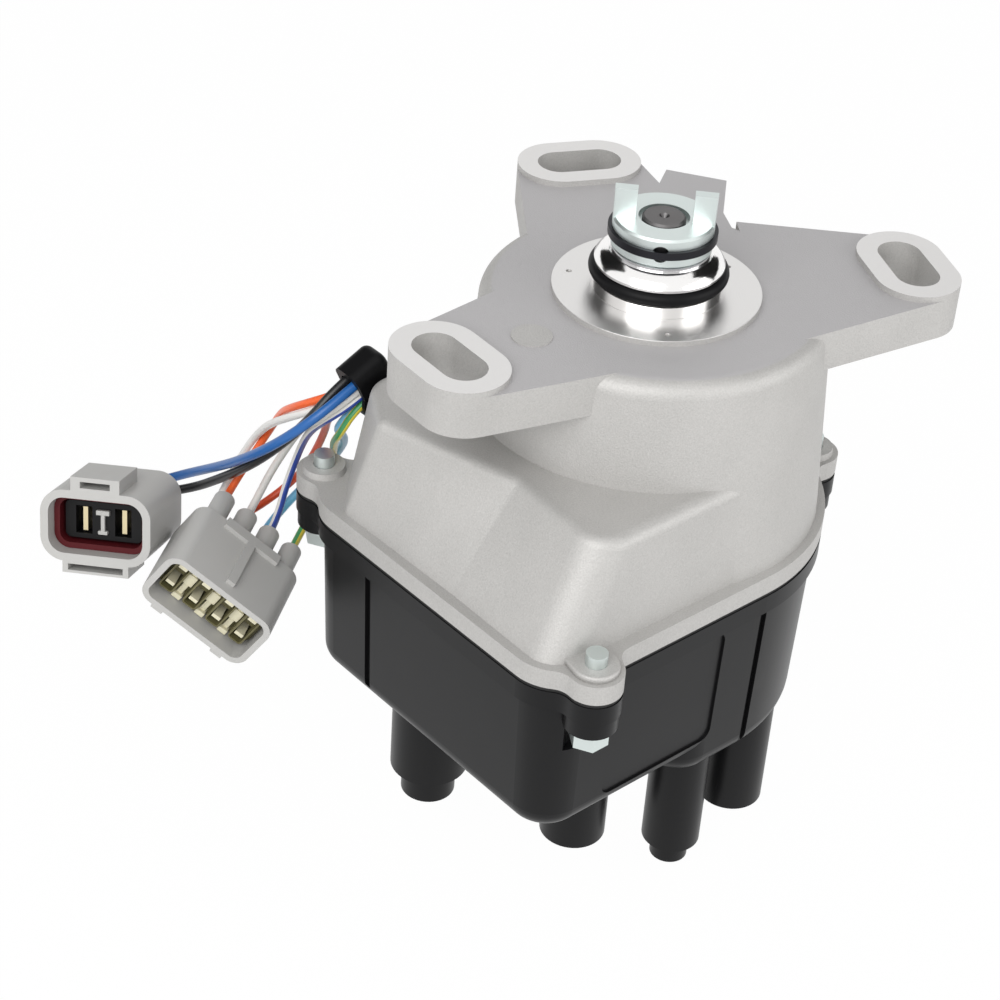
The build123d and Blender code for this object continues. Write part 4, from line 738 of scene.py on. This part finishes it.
def circle_loop(bm, radius, place):
    """A loop of edges: a circle with its middle at a place."""
    made = bmesh.ops.create_circle(bm, segments=CIRCLE_STEPS, radius=radius)
    bmesh.ops.translate(bm, vec=place, verts=made["verts"])
    circle = set(made["verts"])
    return [edge for edge in bm.edges if edge.verts[0] in circle]


def short_tube(loop, outer, inner, back, front):
    """A tube between two places, its outlines given by the measures that the loop takes."""
    bm = bmesh.new()
    outer_back, outer_front = loop(bm, *outer, back), loop(bm, *outer, front)
    inner_back, inner_front = loop(bm, *inner, back), loop(bm, *inner, front)
    # the flat ends come first: once both walls stand, bridge_loops can turn an end over
    bands = ((outer_back, inner_back), (outer_front, inner_front),
             (outer_back, outer_front), (inner_back, inner_front))
    for near, far in bands:
        bmesh.ops.bridge_loops(bm, edges=near + far)
    return bm


# %% Two-way connector
TWO_WAY_CAVITY = Vector((24.0, 14.0))
TWO_WAY_CORNER = 4.0
CAVITY_DEPTH = 15.0
SEAL_SLACK = Vector((0.1, 0.1))        # the seal's outline is this much less than the cavity
SEAL_WALL = 1.5
SEAL_FRONT = -4.0
CORE_FRONT = -6.0
KEY_EDGE = 0.12
two_way = face_frame(place=(-103.8, 78.0, -70.7), facing=(-0.767, -0.566, 0.302),
                     across=(0.612, -0.787, 0.079))

seal_outer = (TWO_WAY_CAVITY - SEAL_SLACK, TWO_WAY_CORNER)
seal_inner = (TWO_WAY_CAVITY - BOTH_SIDES * SEAL_WALL, TWO_WAY_CORNER - SEAL_WALL)
seal = short_tube(rectangle_loop, seal_outer, seal_inner, (0, 0, -CAVITY_DEPTH), (0, 0, SEAL_FRONT))
seal_lining = add_piece("seal_lining", seal, two_way, "maroon_rubber")
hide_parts("two_way_seal")

key_boxes = [
    (-1.7, 1.7, 1.7, 2.9, 0.9),
    (-0.5, 0.5, -2.4, 1.9, 0.8),
    (-1.2, 1.2, -3.2, -2.3, 0.9),
]
core_key = add_piece("core_key", blocks(key_boxes, CORE_FRONT, KEY_EDGE), two_way, "gray_plastic")
print("seal faces:", len(seal_lining.data.polygons), "key faces:", len(core_key.data.polygons))

# %% Eight-way connector
INSERT_FRONT = -7.0
RAIL_MIDDLES = (-7.0, 0.0, 7.0)
RAIL_EDGE = 0.15
eight_way = face_frame(place=(-91.4, 49.5, -83.7), facing=(-0.80, -0.60, 0.0),
                       across=(0.489, -0.653, -0.569))

# half the width, low and high edge, how proud
rail_shapes = [(1.8, 4.3, 6.6, 2.0), (0.75, -6.0, 4.5, 1.4), (1.3, -1.6, 1.8, 1.8), (1.25, -6.6, -5.2, 2.4)]
rail_boxes = [
    (middle_x - half, middle_x + half, low_y, high_y, proud)
    for middle_x in RAIL_MIDDLES
    for half, low_y, high_y, proud in rail_shapes
]
rails = blocks(rail_boxes, INSERT_FRONT, RAIL_EDGE)
insert_rails = add_piece("insert_rails", rails, eight_way, "cream_plastic")

SLOT_MIDDLES = (-10.5, -3.5, 3.5, 10.5)
SLOT_SIZE = Vector((3.2, 10.0))
SLOT_CORNER = 0.5
SLOT_WALL = 0.4
SLOT_DEPTH = 3.3               # a little more than the terminals stand out
slot_inner = (SLOT_SIZE, SLOT_CORNER)
slot_outer = (SLOT_SIZE + BOTH_SIDES * SLOT_WALL, SLOT_CORNER + SLOT_WALL)
slot_foot = (0, 0, INSERT_FRONT - SUNK)
slot_rim = (0, 0, INSERT_FRONT + SLOT_DEPTH)
for number, middle_x in enumerate(SLOT_MIDDLES, start=1):
    tube = short_tube(rectangle_loop, slot_outer, slot_inner, slot_foot, slot_rim)
    bmesh.ops.translate(tube, vec=(middle_x, 0, 0), verts=tube.verts)
    add_piece(f"slot_lining_{number}", tube, eight_way, "olive_plastic")

# %% [markdown]
# ## Wedge pad
# The rim's front ear carries a three-cornered pad that runs from the rim to the round seat
# of the screw. Its outline is the tight hull round a circle and two corners.

# %% Draw the pad
PAD_FOOT = -55.1
PAD_TOP = -53.45
PAD_CORNERS = [(-58.4, -33.4, PAD_FOOT), (-50.4, -39.4, PAD_FOOT)]
PAD_RADIUS = 5.4
PAD_POINTS = 48
PAD_EDGE = 0.5
EAR_PLACE = (-55.5, -47.0, PAD_FOOT)
FLAT_ANGLE = 0.001              # neighbours this near to one plane become one face
SAME_HEIGHT = 0.01
millimetres = Matrix.Scale(MM, 4)


def only_verts(items):
    """The vertices among the things that an operator returns, each once."""
    return list(dict.fromkeys(item for item in items if isinstance(item, bmesh.types.BMVert)))


bm = bmesh.new()
made = bmesh.ops.create_circle(bm, segments=PAD_POINTS, radius=PAD_RADIUS)
bmesh.ops.translate(bm, vec=EAR_PLACE, verts=made["verts"])
for corner in PAD_CORNERS:
    bmesh.ops.create_vert(bm, co=corner)
hull = bmesh.ops.convex_hull(bm, input=list(bm.verts))
inside_hull = only_verts(hull["geom_interior"] + hull["geom_unused"])
bmesh.ops.delete(bm, geom=inside_hull, context="VERTS")
bmesh.ops.dissolve_limit(bm, angle_limit=FLAT_ANGLE, verts=bm.verts, edges=bm.edges)
raised = bmesh.ops.extrude_face_region(bm, geom=list(bm.faces))
bmesh.ops.translate(bm, vec=(0, 0, PAD_TOP - PAD_FOOT), verts=only_verts(raised["geom"]))
upper_edges = [
    edge for edge in bm.edges
    if all(abs(vert.co.z - PAD_TOP) < SAME_HEIGHT for vert in edge.verts)
]
bmesh.ops.bevel(bm, geom=upper_edges, offset=PAD_EDGE, segments=3, affect="EDGES",
                profile=0.5, material=-1)
wedge_pad = add_piece("wedge_pad", bm, millimetres, "cast_aluminium", smooth=True)
print("pad faces:", len(wedge_pad.data.polygons))

# %% [markdown]
# ## Sealing ring
# In the frame the ring in the collar's groove is squeezed flat, as it sits in an engine.
# The loose part in the photograph shows it round and proud of the collar. A full spin of
# one circle makes the ring, and use_merge joins its last section to the first.

# %% Spin the ring
RING_SECTION = 3.5 * MM
RING_SIDES = 20
RING_STEPS = 96
GROOVE_FLOOR = 12.6 * MM
COLLAR_RADIUS = 15.0 * MM
SEAT_GAP = 0.05 * MM
metres = Matrix.Identity(4)


def upright_circle(diameter, sides, place):
    """A shape with one upright circle, ready to be spun round the shaft's axis."""
    bm = bmesh.new()
    made = bmesh.ops.create_circle(bm, segments=sides, radius=diameter / 2)
    upright = Matrix.Rotation(pi / 2, 3, "X")
    bmesh.ops.rotate(bm, cent=(0, 0, 0), matrix=upright, verts=made["verts"])
    bmesh.ops.translate(bm, vec=place, verts=made["verts"])
    return bm


ring_low, ring_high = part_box("pilot_o_ring")
start = Vector((GROOVE_FLOOR + SEAT_GAP + RING_SECTION / 2, 0, (ring_low.z + ring_high.z) / 2))
bm = upright_circle(RING_SECTION, RING_SIDES, start)
bmesh.ops.spin(bm, geom=list(bm.edges), cent=(0, 0, 0), axis=(0, 0, 1), dvec=(0, 0, 0),
               angle=2 * pi, steps=RING_STEPS, use_merge=True)
round_ring = add_piece("round_ring", bm, metres, "black_rubber", smooth=True)
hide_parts("pilot_o_ring")
proud = start.x + RING_SECTION / 2 - COLLAR_RADIUS
print("ring stands proud of the collar in mm:", round(proud / MM, 2))

# %% [markdown]
# ## Neck ring
# A bright ring lies on the collar and closes the gap under the turning coupling. A short
# tube between two circles is enough for it, on the casing's own axes in millimetres.

# %% Close the gap
NECK_OUTER = 11.5
NECK_INNER = 10.5
NECK_FOOT = (0, 0, 10.02)
NECK_TOP = (0, 0, 10.85)

neck = short_tube(circle_loop, (NECK_OUTER,), (NECK_INNER,), NECK_FOOT, NECK_TOP)
neck_ring = add_piece("neck_ring", neck, millimetres, "bearing_steel")
print("neck ring faces:", len(neck_ring.data.polygons))

# %% [markdown]
# ## Brush spring
# A small coil spring behind the carbon brush presses it on the rotor. Seen only when the
# cap is lifted, it is still a real coil: a circle of wire spun round the axis while it
# rises. The brush can press it 2 mm flatter.

# %% Coil the spring
SPRING_WIRE = 0.5 * MM
SPRING_SIDES = 8
SPRING_TURNS = 5
SPRING_STEPS = 20               # straight pieces in one turn
spring_low, spring_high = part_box("brush_spring")
coil_radius = (spring_high.x - spring_low.x - SPRING_WIRE) / 2
rise = spring_high.z - spring_low.z - SPRING_WIRE

start = Vector((coil_radius, 0, spring_low.z + SPRING_WIRE / 2))
bm = upright_circle(SPRING_WIRE, SPRING_SIDES, start)
steps = SPRING_TURNS * SPRING_STEPS
bmesh.ops.spin(bm, geom=list(bm.edges), cent=(0, 0, 0), axis=(0, 0, 1), dvec=(0, 0, rise / steps),
               angle=2 * pi * SPRING_TURNS, steps=steps)
bmesh.ops.holes_fill(bm, edges=bm.edges)
spring = add_piece("coil_spring", bm, metres, "zinc_plate")
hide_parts("brush_spring")
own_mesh(spring)
print("spring faces:", len(spring.data.polygons))

# %% [markdown]
# ## Finish
# The length of each wire's centre line is printed.

for name, _, diameter, points in wire_routes:
    run = length_along(wires[name])
    print(name, "length in mm:", round(run / MM, 1))
